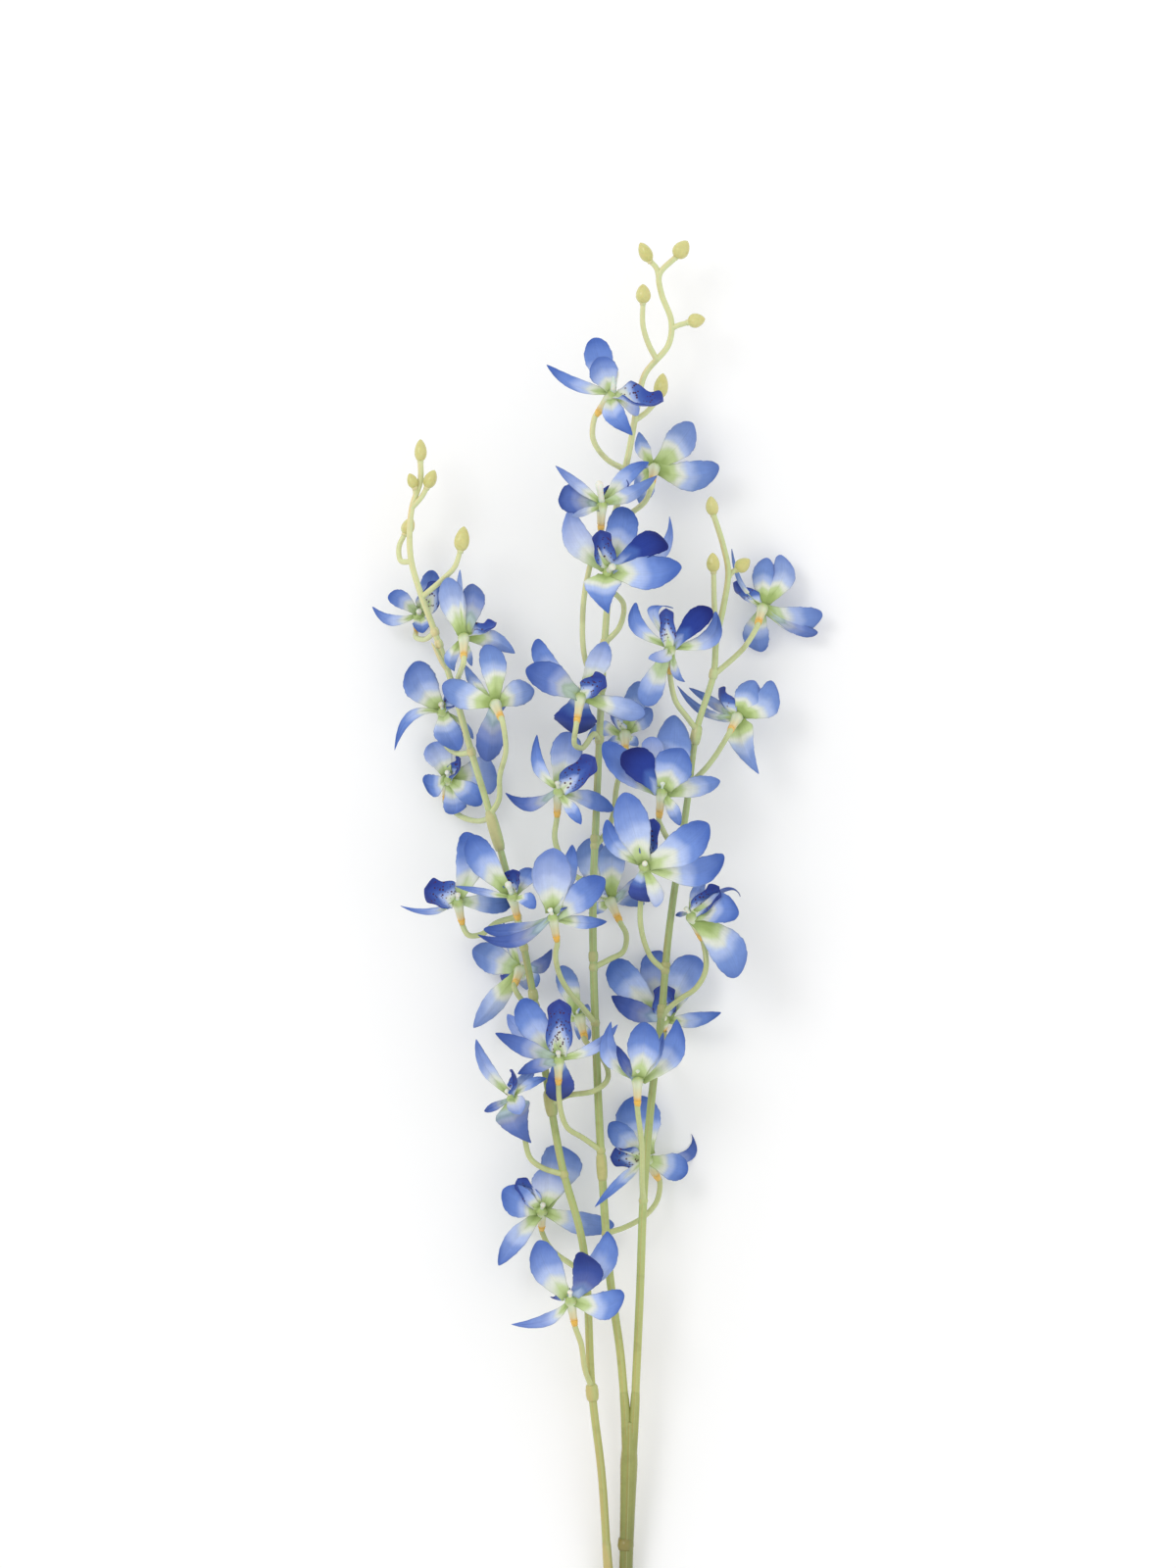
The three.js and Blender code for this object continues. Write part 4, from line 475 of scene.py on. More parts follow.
def turned(shape, profile, at, direction, sides, kind=0, shade=0.0, lobes=0, depth=0.0, turn=0.0):
    """Turned form on an axis; the profile gives radius and height, and lobes make shallow ribs."""
    profile = np.asarray(profile, float)
    axis = unit(direction)
    first = unit(np.cross(axis, [0, 0, 1.0] if abs(axis[2]) < 0.9 else [1.0, 0, 0]))
    second = np.cross(axis, first)
    angle = np.linspace(0, 2 * np.pi, sides, endpoint=False)
    ribs = 1 - depth * np.abs(np.cos(lobes * (angle + turn) / 2)) ** 4
    radius = np.maximum(profile[:, 0], 0.01)[:, None] * ribs[None, :]
    points = (
        np.asarray(at, float)
        + profile[:, 1][:, None, None] * axis
        + radius[..., None] * (first * np.cos(angle)[:, None] + second * np.sin(angle)[:, None])[None]
    )
    height = (profile[:, 1] - profile[0, 1]) / (profile[-1, 1] - profile[0, 1])
    add_rings(shape, points, height, angle, shade, kind)


def sheet(shape, surface, u, v, thickness, kind, tone):
    """Thin fabric on a middle surface; its values are u, v, tone and which face it is (1 is the front)."""
    grid_u, grid_v = np.meshgrid(u, v, indexing="ij")
    middle = surface(grid_u, grid_v)
    step = 0.004
    low_u, high_u = np.clip(grid_u - step, 0, 1), np.clip(grid_u + step, 0, 1)
    along = surface(np.minimum(high_u, 0.985), grid_v) - surface(np.minimum(low_u, 0.977), grid_v)
    inner = np.minimum(grid_u, 0.98)
    across = surface(inner, np.clip(grid_v + 0.02, -1, 1)) - surface(inner, np.clip(grid_v - 0.02, -1, 1))
    normal = np.cross(across, along)
    normal /= np.maximum(np.linalg.norm(normal, axis=-1, keepdims=True), 1e-9)
    rows, columns = grid_u.shape
    count = rows * columns
    front = middle + normal * thickness / 2
    back = middle - normal * thickness / 2
    values = np.stack([grid_u, grid_v * 0.5 + 0.5, np.full_like(grid_u, tone), np.ones_like(grid_u)], -1)
    behind = values.copy()
    behind[..., 3] = 0.0
    faces = grid_faces(rows, columns)
    faces += grid_faces(rows, columns, start=count, turned=True)
    edge = list(range(columns))
    edge += [i * columns + columns - 1 for i in range(1, rows)]
    edge += [(rows - 1) * columns + j for j in range(columns - 2, -1, -1)]
    edge += [i * columns for i in range(rows - 2, 0, -1)]
    for a, b in zip(edge, edge[1:] + edge[:1]):
        faces.append((b, a, count + a, count + b))
    shape.add(np.vstack([front.reshape(-1, 3), back.reshape(-1, 3)]),
              np.vstack([values.reshape(-1, 4), behind.reshape(-1, 4)]), faces, kind)


def outline(form, u):
    early = np.sin(np.pi / 2 * np.clip(u / form["widest"], 0, 1))
    low = form["claw"] + (1 - form["claw"]) * early**PETAL_SWELL
    late = np.clip((u - form["widest"]) / (1 - form["widest"]), 0, 1)
    high = np.maximum(0, 1 - late ** form["power"]) ** form["end"]
    return np.where(u < form["widest"], low, high)


def turned_up(face, share):
    """A bloom's direction turned by a share towards straight up, or down for a share below 0."""
    return face * (1 - abs(share)) + np.array([0, 0, share])


def blade(root, tip, upside):
    """A blade's length, and the directions along it, across it and out of its face."""
    length = np.linalg.norm(tip - root)
    along = (tip - root) / length
    normal = unit(upside - along * upside.dot(along))
    return length, along, np.cross(along, normal), normal


def petal_surface(at, face, tip, kind, width, up, bend, layer, phase):
    form = FORMS[kind]
    radial = unit(tip - face * tip.dot(face))
    root = at + radial * PETAL_ROOT + face * layer
    length, along, across, normal = blade(root, at + tip, turned_up(face, up))
    bow = PETAL_BOW * (1 - 2 * along.dot(face) ** 2)

    def surface(u, v):
        half = form["half"] * length * width * outline(form, u)
        half = half * (1 + 0.016 * np.sin(61 * u + phase) + 0.02 * np.sin(31 * u + 5 * v + 2 * phase))
        lift = bow * length * 4 * u * (1 - u) + form["cup"] * half * v * v
        lift = lift + PETAL_RIPPLE * half * np.abs(v) * np.sin(WAVES * u + phase + v)
        lift = lift + EDGE_CURL * half * np.abs(v) ** 6 * np.sin(3 * u + 2 * phase)
        crease = np.exp(-((v / CREASE_WIDTH) ** 2)) * smooth(0.02, 0.2, u) * (1 - smooth(0.75, 1.0, u))
        lift = lift - CREASE_DEPTH * crease
        point = root + along * (length * u)[..., None]
        point = point + across * (half * v)[..., None] + normal * lift[..., None]
        point = point + bend * (4 * u * (1 - u))[..., None]
        point[..., 2] = np.maximum(point[..., 2], LOWEST_FABRIC)
        return point

    return surface


def lip_surface(at, column, tip, scale, up):
    aside = unit(tip - column * tip.dot(column))
    root = at + aside * PETAL_ROOT
    length, along, across, normal = blade(root, at + tip, turned_up(column, up))

    def surface(u, v):
        sides = np.where(u < LIP["side_end"], np.sin(np.pi * u / LIP["side_end"]) ** 2, 0)
        middle = np.where(u > LIP["middle_start"],
                          np.sin(np.pi * (u - LIP["middle_start"]) / LIP["middle_span"]), 0)
        width = LIP["waist"] + (1 - LIP["waist"]) * sides + LIP["middle"] * middle
        width = width * np.sqrt(np.maximum(0, 1 - smooth(0.78, 1.0, u) ** 2))
        half = LIP["half"] * scale * width
        curl = (LIP["curl"] * np.minimum(1, u / LIP["curl_start"]) - LIP["flatten"] * u) * half * v * v
        drop = -LIP["sag"] * length * np.sin(np.pi * u) - LIP["droop"] * length * u * u
        frill = LIP_FRILL * np.abs(v) ** 3 * np.sin(19 * u + 2 * v)
        notch = LIP_NOTCH * length * np.exp(-((v / 0.25) ** 2)) * smooth(0.85, 1.0, u)
        point = root + along * (length * u - notch)[..., None]
        point = point + across * (half * v * (1 - LIP["pinch"] * (1 - u)))[..., None]
        point = point + normal * (curl + drop + frill)[..., None]
        point[..., 2] = np.maximum(point[..., 2], LOWEST_FABRIC)
        return point

    return surface


class Nodes:
    """Small helper for building a material out of shader nodes."""

    def __init__(self, name):
        self.material = bpy.data.materials.new(name)
        self.material.use_nodes = True
        self.tree = self.material.node_tree
        self.shader = self.tree.nodes["Principled BSDF"]

    def add(self, kind, **settings):
        node = self.tree.nodes.new(kind)
        for key, value in settings.items():
            setattr(node, key, value)
        return node

    def put(self, value, socket):
        if hasattr(value, "is_output") or hasattr(value, "links"):
            self.tree.links.new(value, socket)
        else:
            socket.default_value = value

    def math(self, operation, *values, clamp=False):
        node = self.add("ShaderNodeMath", operation=operation, use_clamp=clamp)
        for socket, value in zip(node.inputs, values):
            self.put(value, socket)
        return node.outputs[0]

    def line(self, value, slope, start, clamp=False):
        return self.math("MULTIPLY_ADD", value, slope, start, clamp=clamp)

    def times(self, a, b):
        return self.math("MULTIPLY", a, b)

    def rest(self, share):
        return self.math("SUBTRACT", 1.0, share)

    def here(self):
        return self.add("ShaderNodeTexCoord").outputs["Object"]

    def uniform(self, socket, value):
        self.shader.inputs[socket].default_value = value

    def glow_inside(self, weight):
        self.uniform("Subsurface Weight", weight)
        self.uniform("Subsurface Scale", GLOW_DEPTH)

    def noise(self, scale, detail=3.0, vector=None):
        node = self.add("ShaderNodeTexNoise")
        node.inputs["Scale"].default_value = scale
        node.inputs["Detail"].default_value = detail
        node.inputs["Roughness"].default_value = 0.5
        if vector is None:
            vector = self.here()
        self.put(vector, node.inputs["Vector"])
        return node.outputs["Fac"]

    def ramp(self, value, stops, smoothly=True):
        node = self.add("ShaderNodeValToRGB")
        node.color_ramp.interpolation = "EASE" if smoothly else "LINEAR"
        elements = node.color_ramp.elements
        while len(elements) < len(stops):
            elements.new(0.5)
        for element, (place, colour) in zip(elements, stops):
            element.position = place
            element.color = (*linear(colour), 1)
        self.put(value, node.inputs["Fac"])
        return node.outputs["Color"]

    def mix(self, factor, a, b, blend="MIX"):
        node = self.add("ShaderNodeMix", data_type="RGBA", blend_type=blend)
        self.put(factor, node.inputs[0])
        self.put(a if not isinstance(a, tuple) else (*linear(a), 1), node.inputs[6])
        self.put(b if not isinstance(b, tuple) else (*linear(b), 1), node.inputs[7])
        return node.outputs[2]

    def step(self, value, low, high):
        node = self.add("ShaderNodeMapRange", interpolation_type="SMOOTHSTEP")
        self.put(value, node.inputs["Value"])
        self.put(low, node.inputs["From Min"])
        self.put(high, node.inputs["From Max"])
        return node.outputs["Result"]

    def bump(self, height, distance, strength=1.0):
        node = self.add("ShaderNodeBump")
        node.inputs["Distance"].default_value = distance
        node.inputs["Strength"].default_value = strength
        self.put(height, node.inputs["Height"])
        self.put(node.outputs["Normal"], self.shader.inputs["Normal"])


def linear(colour):
    """Linear light from the 0 to 255 values of a screen colour."""
    c = np.asarray(colour, float) / 255
    return tuple(float(x) for x in np.where(c <= 0.04045, c / 12.92, ((c + 0.055) / 1.055) ** 2.4))


# Materials

GREEN_FOOT = (158, 180, 108)
GREEN_PALE = (190, 208, 148)
CREAM = (222, 226, 214)
SKY = (176, 194, 236)
BLUE = (112, 142, 210)
DEEP = (76, 108, 184)
VIOLET = (42, 64, 150)
INK = (24, 36, 112)
PALE_TIP = (156, 178, 232)
BACK_TINT = (126, 148, 190)
LIP_BLUE = (54, 82, 168)
SPOT = (74, 26, 52)
THREADS = 4200.0
GLOW_DEPTH = 0.002
FULL_TURN = 6.2832

# Colours from the cut end to the last buds, of the main stem and of the branches
STEM_RAMP = [(0.0, (120, 118, 62)), (0.05, (132, 130, 72)), (0.11, (156, 152, 88)), (0.2, (188, 184, 116))]
BRANCH_RAMP = [
    (0.0, (184, 174, 112)), (0.2, (190, 185, 118)), (0.34, (184, 188, 124)), (0.52, (154, 162, 106)),
    (0.7, (182, 192, 138)), (0.86, (208, 208, 158)), (1.0, (226, 220, 172)),
]
GREENER = (238, 253, 240)
BROWNER = (255, 238, 224)
STALK_PALE = (208, 214, 160)
SEAM_PALE = (222, 222, 176)


def place_values(n):
    """Place along the piece, place across it, its tone, and 1 on its front or 0 on its back."""
    place = n.add("ShaderNodeAttribute", attribute_name="place")
    split = n.add("ShaderNodeSeparateColor")
    n.put(place.outputs["Color"], split.inputs[0])
    return (*split.outputs, place.outputs["Alpha"])


def shaded(n, colour, light):
    """A colour made lighter or darker by a value around 1."""
    shades = n.add("ShaderNodeCombineColor")
    for k in range(3):
        n.put(light, shades.inputs[k])
    return n.mix(1.0, colour, shades.outputs[0], "MULTIPLY")


def woven(n):
    """Crossed threads about a millimetre apart, from -1 to 1."""
    place = n.add("ShaderNodeSeparateXYZ")
    n.put(n.here(), place.inputs[0])
    x, y, _ = place.outputs
    one = n.math("SINE", n.times(n.math("ADD", x, y), THREADS))
    other = n.math("SINE", n.times(n.math("SUBTRACT", x, y), THREADS))
    return n.times(one, other)


def petal_material():
    """Woven fabric, green at the foot, cream and then blue outwards, darker or paler by tone, with painted
    shade along the middle crease and at the foot.
    """
    n = Nodes("petal_fabric")
    u, v, tone, front = place_values(n)
    drift = n.noise(70.0, 2.0)
    fine = n.noise(420.0, 3.0)
    shift = n.line(drift, 0.3, -0.15)
    off_middle = n.math("ABSOLUTE", n.line(v, 2.0, -1.0))
    spread = n.line(off_middle, 0.1, shift)
    run = n.math("ADD", u, spread)
    run = n.line(n.rest(front), -0.08, run)
    middle = n.ramp(run, [
        (0.06, GREEN_FOOT), (0.2, GREEN_PALE), (0.31, CREAM), (0.45, SKY), (0.65, BLUE), (1.0, DEEP)])
    dark = n.ramp(run, [(0.0, GREEN_PALE), (0.12, SKY), (0.24, DEEP), (0.42, VIOLET), (1.0, INK)])
    pale = n.ramp(run, [
        (0.02, GREEN_FOOT), (0.18, GREEN_PALE), (0.32, CREAM), (0.56, (218, 223, 238)), (1.0, PALE_TIP)])
    darker = n.line(tone, -2.4, 1.2, clamp=True)
    paler = n.line(tone, 2.0, -1.0, clamp=True)
    colour = n.mix(paler, n.mix(darker, middle, dark), pale)
    dulled = n.times(n.step(run, 0.3, 0.6), n.line(darker, -0.2, 0.28))
    back = n.mix(dulled, colour, BACK_TINT)
    colour = n.mix(front, back, colour)
    streaks = n.add("ShaderNodeCombineXYZ")
    n.put(n.times(u, 1.5), streaks.inputs[0])
    n.put(n.times(v, 18.0), streaks.inputs[1])
    n.put(n.times(tone, 7.0), streaks.inputs[2])
    vein = n.noise(1.6, 2.0, vector=streaks.outputs[0])
    light = n.line(vein, 0.16, 0.92)
    light = n.times(light, n.line(fine, 0.16, 0.92))
    weave = woven(n)
    edge = n.step(off_middle, 0.94, 1.0)
    # Painted shade along the petal's middle crease
    crease = n.rest(n.step(off_middle, 0.0, 0.06))
    # Painted shade: the petal's foot is darkened where it tucks in among the other petals and the calyx
    foot = n.rest(n.step(u, 0.0, 0.16))
    for value, depth in ((weave, 0.035), (edge, -0.14), (crease, -0.05), (foot, -0.14)):
        light = n.times(light, n.line(value, depth, 1.0))
    n.put(shaded(n, colour, light), n.shader.inputs["Base Color"])
    n.uniform("Roughness", 0.8)
    n.uniform("Sheen Weight", 0.12)
    n.uniform("Sheen Roughness", 0.5)
    n.uniform("Specular IOR Level", 0.2)
    relief = n.line(weave, 0.3, n.times(fine, 0.8))
    n.bump(relief, 0.00015, 0.6)
    return n.material


def lip_material():
    """The same fabric in deep blue, with a whitish throat speckled in dark red-brown."""
    n = Nodes("lip_fabric")
    u, v, tone, front = place_values(n)
    drift = n.noise(150.0, 2.0)
    off_middle = n.math("ABSOLUTE", n.line(v, 2.0, -1.0))
    run = n.line(drift, 0.2, n.line(off_middle, 0.3, u))
    run = n.math("ADD", run, n.line(tone, -0.6, 0.22))
    colour = n.ramp(run, [
        (0.1, GREEN_PALE), (0.26, CREAM), (0.4, SKY), (0.56, DEEP), (0.8, LIP_BLUE), (1.0, VIOLET)])
    spots = n.add("ShaderNodeTexVoronoi", feature="F1")
    spots.inputs["Scale"].default_value = 560.0
    n.put(n.here(), spots.inputs["Vector"])
    dot = n.rest(n.step(spots.outputs["Distance"], 0.24, 0.36))
    near = n.times(n.step(u, 0.03, 0.12), n.rest(n.step(u, 0.68, 0.85)))
    patch = n.step(n.noise(200.0, 1.0), 0.36, 0.46)
    dot = n.times(dot, n.times(near, patch))
    dot = n.times(dot, n.line(front, 0.45, 0.5))
    colour = n.mix(dot, colour, SPOT)
    edge = n.step(off_middle, 0.9, 1.0)
    colour = n.mix(n.times(edge, 0.3), colour, INK)
    n.put(colour, n.shader.inputs["Base Color"])
    n.uniform("Roughness", 0.72)
    n.uniform("Sheen Weight", 0.2)
    n.uniform("Specular IOR Level", 0.3)
    n.bump(n.noise(900.0, 2.0), 0.0001, 0.6)
    return n.material


def plastic(name, low, high, rough, subsurface=0.1, speck=None):
    """Moulded plastic between two colours, with faint streaks and a soft gloss."""
    n = Nodes(name)
    shade = place_values(n)[2]
    cloud = n.noise(60.0, 3.0)
    share = n.step(cloud, 0.3, 0.7)
    share = n.line(share, 0.55, n.times(shade, 0.9), clamp=True)
    fine = n.noise(700.0, 2.0)
    colour = shaded(n, n.mix(share, low, high), n.line(fine, 0.2, 0.9))
    if speck is not None:
        colour = n.mix(n.times(n.step(n.noise(240.0, 2.0), 0.62, 0.72), 0.5), colour, speck)
    n.put(colour, n.shader.inputs["Base Color"])
    n.put(n.line(cloud, 0.2, rough - 0.1), n.shader.inputs["Roughness"])
    n.glow_inside(subsurface)
    n.bump(n.math("ADD", n.noise(320.0, 2.0), n.times(fine, 0.3)), 0.0002, 0.5)
    return n.material


def branch_material(name, ramp):
    """Semi-gloss plastic whose colour changes along the spray, greener on one side of each stem."""
    n = Nodes(name)
    _, around, shade, _ = place_values(n)
    position = n.add("ShaderNodeSeparateXYZ")
    n.put(n.here(), position.inputs[0])
    low = n.noise(24.0, 2.0)
    height = n.line(position.outputs[0], -0.8, n.step(position.outputs[1], -0.4, 0.36))
    run = n.line(n.math("ADD", low, -0.5), 0.16, height)
    colour = n.ramp(run, ramp, smoothly=False)
    side = n.math("COSINE", n.times(n.line(low, 0.8, around), FULL_TURN))
    colour = n.mix(0.85, colour, n.mix(n.step(side, -0.2, 0.7), GREENER, BROWNER), "MULTIPLY")
    colour = n.mix(shade, colour, STALK_PALE)
    seam = n.step(n.math("COSINE", n.times(around, 2 * FULL_TURN)), 0.97, 1.0)
    colour = n.mix(n.times(seam, 0.2), colour, SEAM_PALE)
    worn = n.step(n.noise(90.0, 3.0), 0.58, 0.7)
    colour = n.mix(n.times(worn, 0.2), colour, (120, 122, 62))
    fine = n.noise(520.0, 3.0)
    n.put(shaded(n, colour, n.line(fine, 0.16, 0.92)), n.shader.inputs["Base Color"])
    n.put(n.line(fine, 0.2, 0.12), n.shader.inputs["Roughness"])
    n.glow_inside(0.05)
    n.bump(n.line(seam, 0.6, n.noise(260.0, 2.0)), 0.0003, 0.5)
    return n.material


def calyx_material():
    """Cream plastic, greener towards the petals and faintly ribbed."""
    n = Nodes("calyx_plastic")
    along, around, _, _ = place_values(n)
    cloud = n.noise(90.0, 2.0)
    run = n.line(cloud, 0.3, n.math("ADD", along, -0.15))
    colour = n.ramp(run, [
        (0.0, (234, 190, 104)), (0.22, (222, 212, 166)), (0.65, (216, 223, 192)), (0.9, (176, 196, 124))])
    rib = n.math("COSINE", n.times(around, 10 * 3.14159))
    light = n.line(rib, 0.05, n.line(cloud, 0.1, 0.88))
    n.put(shaded(n, colour, light), n.shader.inputs["Base Color"])
    n.put(n.line(cloud, 0.2, 0.3), n.shader.inputs["Roughness"])
    n.glow_inside(0.15)
    n.bump(n.noise(420.0, 2.0), 0.0002, 0.5)
    return n.material


PETAL = petal_material()
LIP_FABRIC = lip_material()
STEM = branch_material("stem_plastic", STEM_RAMP)
BRANCH = branch_material("branch_plastic", BRANCH_RAMP)
CALYX = calyx_material()
WAX = plastic("column_plastic", (214, 218, 196), (246, 246, 240), 0.35, subsurface=0.3)
GLUE = plastic("glue", (232, 178, 72), (236, 202, 120), 0.25)
BUD = plastic("bud_plastic", (200, 196, 122), (218, 212, 148), 0.2, speck=(188, 184, 108))


# Blooms

PETAL_ROWS = 30
PETAL_COLUMNS = 15


def bloom_piece(bloom, index):
    at = np.array(bloom["at"], float)
    face = unit(bloom["face"])
    lip = np.array(bloom["lip"], float)
    aside = unit(lip - face * lip.dot(face))
    lip_face = unit(face - aside * COLUMN_LEAN)
    foot = at - face * CALYX_LENGTH
    shape = Shape()
    tips = [np.array(petal[1:4], float) for petal in bloom["petals"]]
    lean = [tip.dot(face) / np.linalg.norm(tip) for tip in tips]
    u = np.sin(np.linspace(0, np.pi / 2, PETAL_ROWS)) * 0.9999
    v = np.linspace(-1, 1, PETAL_COLUMNS)
    for number, (petal, tip) in enumerate(zip(bloom["petals"], tips)):
        kind, width, up, bend_x, bend_y = petal[0], *petal[4:8]
        tone = petal[8] if len(petal) > 8 else 0
        before = sum(value < lean[number] for value in lean)
        layer = BACK_LAYER + (FRONT_LAYER - BACK_LAYER) * before / (len(tips) - 1)
        phase = BLOOM_PHASE * index + PETAL_PHASE * number
        bend = np.array([bend_x, bend_y, 0.0])
        surface = petal_surface(at, face, tip, kind, width, up, bend, layer, phase)
        sheet(shape, surface, u, v, FABRIC, 0, 0.5 + 0.5 * tone)
    surface = lip_surface(at, lip_face, lip, bloom.get("lip_scale", 1), bloom.get("lip_up", 0))
    sheet(shape, surface, u, v, FABRIC, 1, 0.5 + 0.5 * bloom.get("lip_tone", 0))
    profile = [
        (0, 0), (1.6, 0), (CALYX_FOOT_RADIUS, 0.6), (2.1, 3.5), (2.5, 7), (THROAT_RADIUS, 10.6),
        (2.7, 12.0), (1.5, 13.0), (0, 13.4),
    ]
    turned(shape, profile, foot, face, 20, kind=2, lobes=5, depth=0.06)
    length = bloom.get("column_length", COLUMN_LENGTH)
    extra = COLUMN_THICKENING * (length - COLUMN_LENGTH)
    head = [(0, 0), (1.2, 0.03), (1.0, 0.3), (1.05, 0.55), (1.5, 0.76), (1.35, 0.9), (0.7, 0.98), (0, 1)]
    head = [(radius + extra if radius else 0, share * length) for radius, share in head]
    column = unit(face - aside * bloom.get("column_lean", COLUMN_LEAN))
    turned(shape, head, at, column, 16, kind=3)
    return shape.make(f"bloom_{bloom['name']}_form", [PETAL, LIP_FABRIC, CALYX, WAX])


for number, bloom in enumerate(BLOOMS):
    piece = bloom_piece(bloom, number)
    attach(piece, "root")
    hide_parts("bloom_" + bloom["name"])


# Stems

CURVES = {name: spline(raised(route), 420) for name, route in BRANCHES.items()}


def branch_of(bloom):
    return bloom.get("branch", BRANCH_LETTERS[bloom["name"][0]])


def on_branch(name, y):
    path = CURVES[name]
    return path[np.argmin(np.abs(path[:, 1] - y))]


BUD_WIDEST = 0.4


def add_bud(shape, base, direction, length, width, turn):
    t = np.linspace(0, 1, 20)
    low = np.sqrt(1 - np.maximum(0, 1 - t / BUD_WIDEST) ** 2)
    high = (1 - np.maximum(0, (t - BUD_WIDEST) / (1 - BUD_WIDEST)) ** 1.9) ** 0.72
    profile = np.column_stack([width / 2 * low * high, -0.6 + t * (length + 0.6)])
    turned(shape, profile, base, direction, 24, kind=1, lobes=3, depth=0.1, turn=turn)
    collar = [(0, -1.6), (1.5, -1.4), (1.75, 0.2), (1.4, 1.2), (0, 1.4)]
    turned(shape, collar, base, direction, 12, shade=0.3)


def branch_piece(name, seed):
    shape = Shape()
    path = CURVES[name]
    share = np.linspace(0, 1, len(path))
    radius = BRANCH_RADIUS + (BRANCH_TIP_RADIUS - BRANCH_RADIUS) * share**1.5
    tube(shape, path, radius, 14, bumps=0.02, seed=seed)
    for _, y, length, size in [sleeve for sleeve in SLEEVES if sleeve[0] == name]:
        low, high = on_branch(name, y - length / 2), on_branch(name, y + length / 2)
        run = np.linalg.norm(high - low)
        rings = [(0, 0), (0.74, 0), (0.92, 0.12), (1, 0.35), (1, 0.65), (0.92, 0.88), (0.72, 1), (0, 1)]
        turned(shape, [(size * out, run * place) for out, place in rings], low, high - low, 18, shade=0.12)
    for _, y, tip, size in [bract for bract in BRACTS if bract[0] == name]:
        low = on_branch(name, y)
        axis = np.array(tip) - low
        run = np.linalg.norm(axis)
        rings = [(0, 0), (0.7, 0.15), (1, 0.4), (0.75, 0.7), (0.35, 0.92), (0, 1)]
        turned(shape, [(size * out, run * place) for out, place in rings], low, axis, 12, shade=0.2)
    for k, (_, start, stalk, direction, length, width, turn) in enumerate([b for b in BUDS if b[0] == name]):
        if start is not None:
            route = spline([on_branch(name, start), *stalk], 30)
            tube(shape, route, np.linspace(1.5, 1.3, 30), 12, shade=0.3, bumps=0.03, seed=seed + k)
        add_bud(shape, np.array(stalk[-1], float), direction, length, width, turn)
    for k, bloom in enumerate([b for b in BLOOMS if branch_of(b) == name]):
        face = unit(bloom["face"])
        end = np.array(bloom["at"], float) - face * (CALYX_LENGTH + 0.1)
        start = on_branch(name, bloom["from"])
        route = spline([start, *bloom["stalk"], end - face * 4, end], 60)
        run = np.linspace(0, 1, 60)
        swell = 1 + 0.25 * np.exp(-14 * run) + 0.15 * smooth(0.9, 1, run)
        tube(shape, route, STALK_RADIUS * swell, 12, shade=0.45, bumps=0.03, seed=seed + 40 + k)
        blob = [(0, -3.4), (1.5, -3.0), (1.75, -1.6), (1.95, -0.4), (1.7, 0.3), (0, 0.4)]
        turned(shape, blob, end, face, 14, kind=2)
        joint = [(0, -2.6), (2.0, -2.0), (2.45, 0), (2.0, 2.0), (0, 2.6)]
        turned(shape, joint, start, path_direction(name, bloom["from"]), 14, shade=0.2)
    return shape.make(f"branch_{name}_form", [BRANCH, BUD, GLUE])


def path_direction(name, y):
    path = CURVES[name]
    k = np.clip(np.argmin(np.abs(path[:, 1] - y)), 1, len(path) - 2)
    return path[k + 1] - path[k - 1]


for seed, name in enumerate(BRANCHES):
    piece = branch_piece(name, 100 * (seed + 1))
    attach(piece, "root")
    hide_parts("branch_" + name)


# The main stem seen from above, where each socket leaves it, and how far sockets lap over the branches
STEM_ROWS = 160
STEM_ROUTE = [[14, CUT_END], [14.6, -50], [15.5, 0], [16.6, 40], [17.1, 60], [17.3, 74]]
SOCKET_ROOTS = {"centre": [16.4, 54], "right": [18, 54], "left": [14.3, -66]}
SOCKET_LAP = 1.5


def main_stem():
    shape = Shape()
    share = np.linspace(0, 1, STEM_ROWS)
    swelling = np.clip((share - SWELLING_START) / (SWELLING_END - SWELLING_START), 0, 1) ** 1.3
    radius = STEM_RADIUS + (FORK_RADIUS - STEM_RADIUS) * swelling
    radius = radius * (1 - (1 - STEM_END_SHARE) * smooth(SWELLING_END, 1.0, share))
    tube(shape, spline(raised(STEM_ROUTE), STEM_ROWS), radius, 24, bumps=0.02, seed=7)
    low, high = raised([[15.2, 8], [15.4, 14]])
    ring = [(0, 0), (3.7, 0), (4.2, 2), (3.9, 6), (0, 6)]
    turned(shape, ring, low, high - low, 24)
    for name, inside in SOCKET_ROOTS.items():
        foot, after = raised(BRANCHES[name][:2])
        axis = unit(after - foot)
        end = foot + axis * SOCKET_LAP
        widths = [SOCKET_FOOT_RADIUS, SOCKET_RADIUS, BRANCH_RADIUS]
        radius = np.interp(np.linspace(0, 1, 30), [0, 0.9, 1], widths)
        tube(shape, spline([raised([inside])[0], end - axis * 8, end], 30), radius, 18, seed=11)
    return shape.make("main_stem_form", [STEM])


piece = main_stem()
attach(piece, "root")
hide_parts("main_stem")


# Surface, light and camera

FLOOR_HALF = 4.0


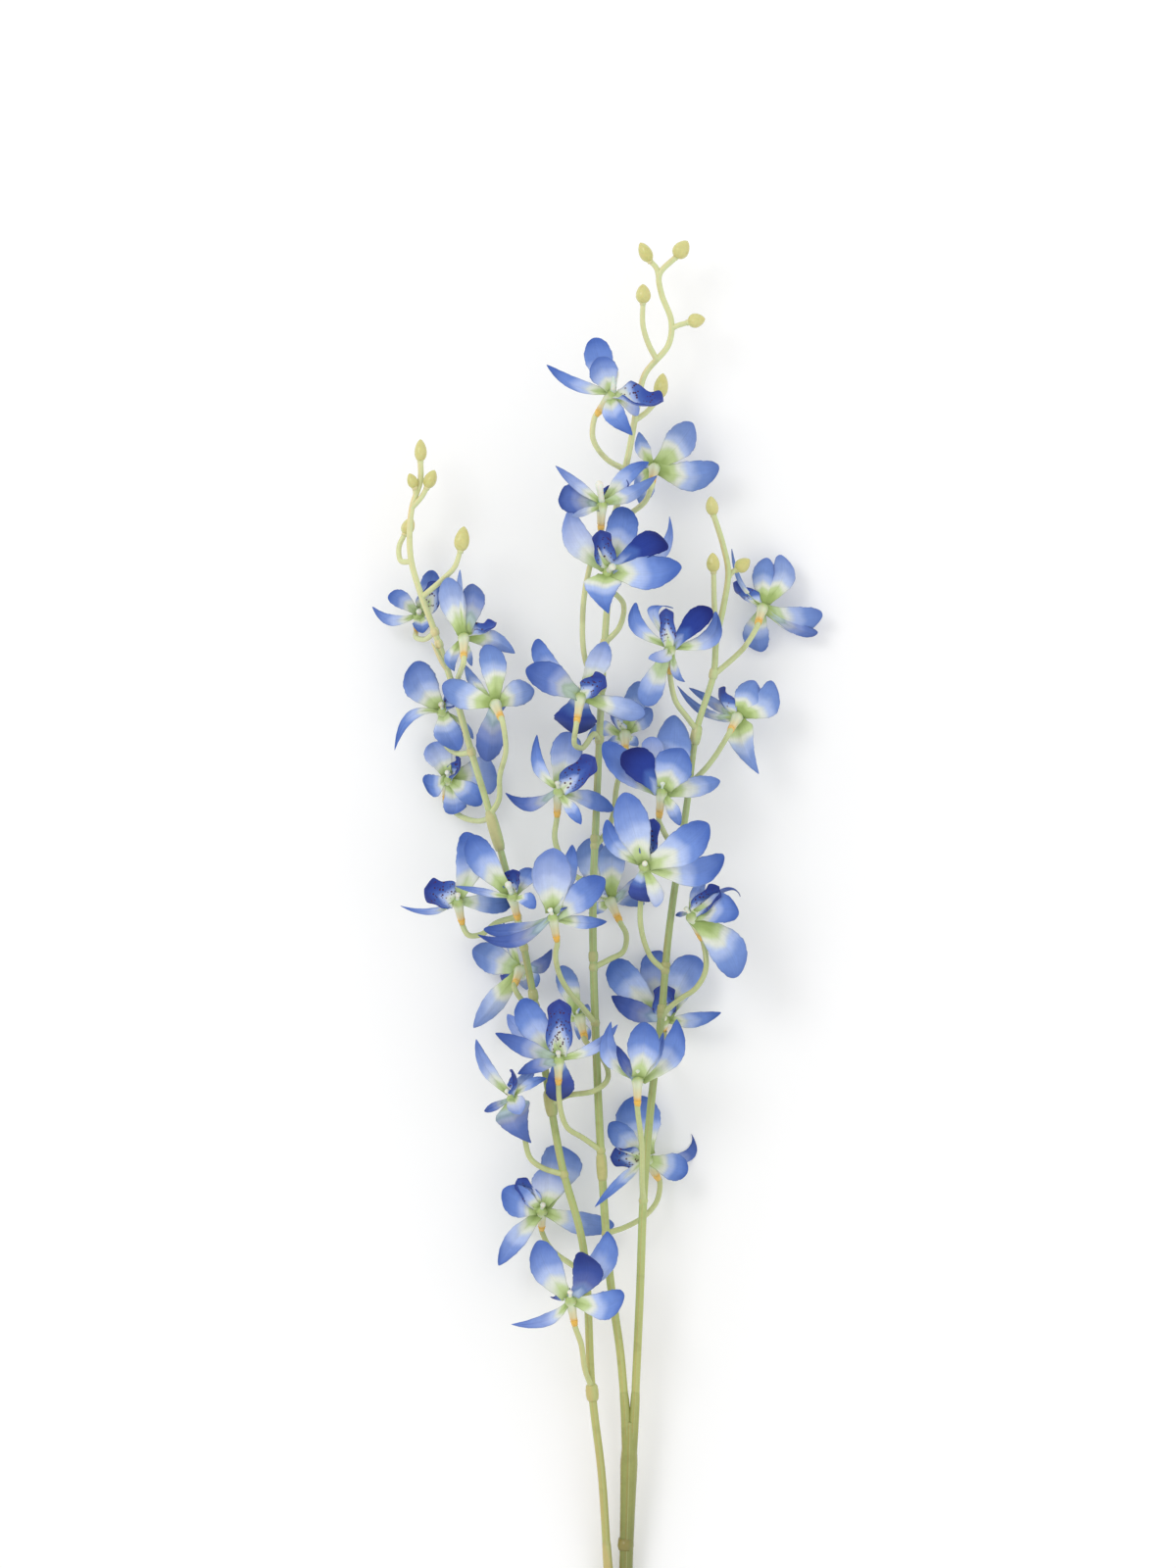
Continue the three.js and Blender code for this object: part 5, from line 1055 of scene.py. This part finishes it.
def floor_material():
    n = Nodes("floor_white")
    cloud = n.noise(3.0, 2.0)
    colour = n.mix(n.times(cloud, 0.3), (252, 252, 252), (246, 246, 247))
    n.put(colour, n.shader.inputs["Base Color"])
    n.uniform("Roughness", 0.9)
    n.uniform("Specular IOR Level", 0.1)
    return n.material


mesh = bpy.data.meshes.new("floor")
corners = [(x * FLOOR_HALF, y * FLOOR_HALF, 0) for x, y in ((-1, -1), (1, -1), (1, 1), (-1, 1))]
mesh.from_pydata(corners, [], [(0, 1, 2, 3)])
mesh.materials.append(floor_material())
floor = bpy.data.objects.new("floor", mesh)
bpy.context.scene.collection.objects.link(floor)


def lamp(name, place, size, power):
    light = bpy.data.lights.new(name, "AREA")
    light.shape = "DISK"
    light.size = size
    light.energy = power
    item = bpy.data.objects.new(name, light)
    item.location = place
    aim = -np.array(place, float)
    item.rotation_mode = "QUATERNION"
    item.rotation_quaternion = Vector(aim).to_track_quat("-Z", "Y")
    bpy.context.scene.collection.objects.link(item)


lamp("key", (-1.3, 1.2, 2.2), 1.2, 14.0)
lamp("fill", (1.6, -0.6, 2.0), 2.0, 3.0)
world = bpy.data.worlds.new("room")
world.use_nodes = True
sky = world.node_tree.nodes["Background"]
sky.inputs["Color"].default_value = (1.0, 1.0, 1.0, 1.0)
sky.inputs["Strength"].default_value = 0.92
bpy.context.scene.world = world
bpy.context.scene.view_settings.view_transform = "Standard"

# The picture spans 600 by 800 mm of the stem's plane, seen from straight above
PICTURE_HEIGHT = 0.8
PICTURE_CENTRE = (-0.004, 0.114)
PLANE_HEIGHT = 0.034
LENS = 300.0
SENSOR = 36.0
camera_data = bpy.data.cameras.new("camera")
camera_data.lens = LENS
camera_data.sensor_width = SENSOR
distance = PICTURE_HEIGHT * LENS / SENSOR
camera_data.clip_start = 0.1
camera_data.clip_end = distance + 5
camera = bpy.data.objects.new("camera", camera_data)
camera.location = (PICTURE_CENTRE[0], PICTURE_CENTRE[1], PLANE_HEIGHT + distance)
bpy.context.scene.collection.objects.link(camera)
bpy.context.scene.camera = camera
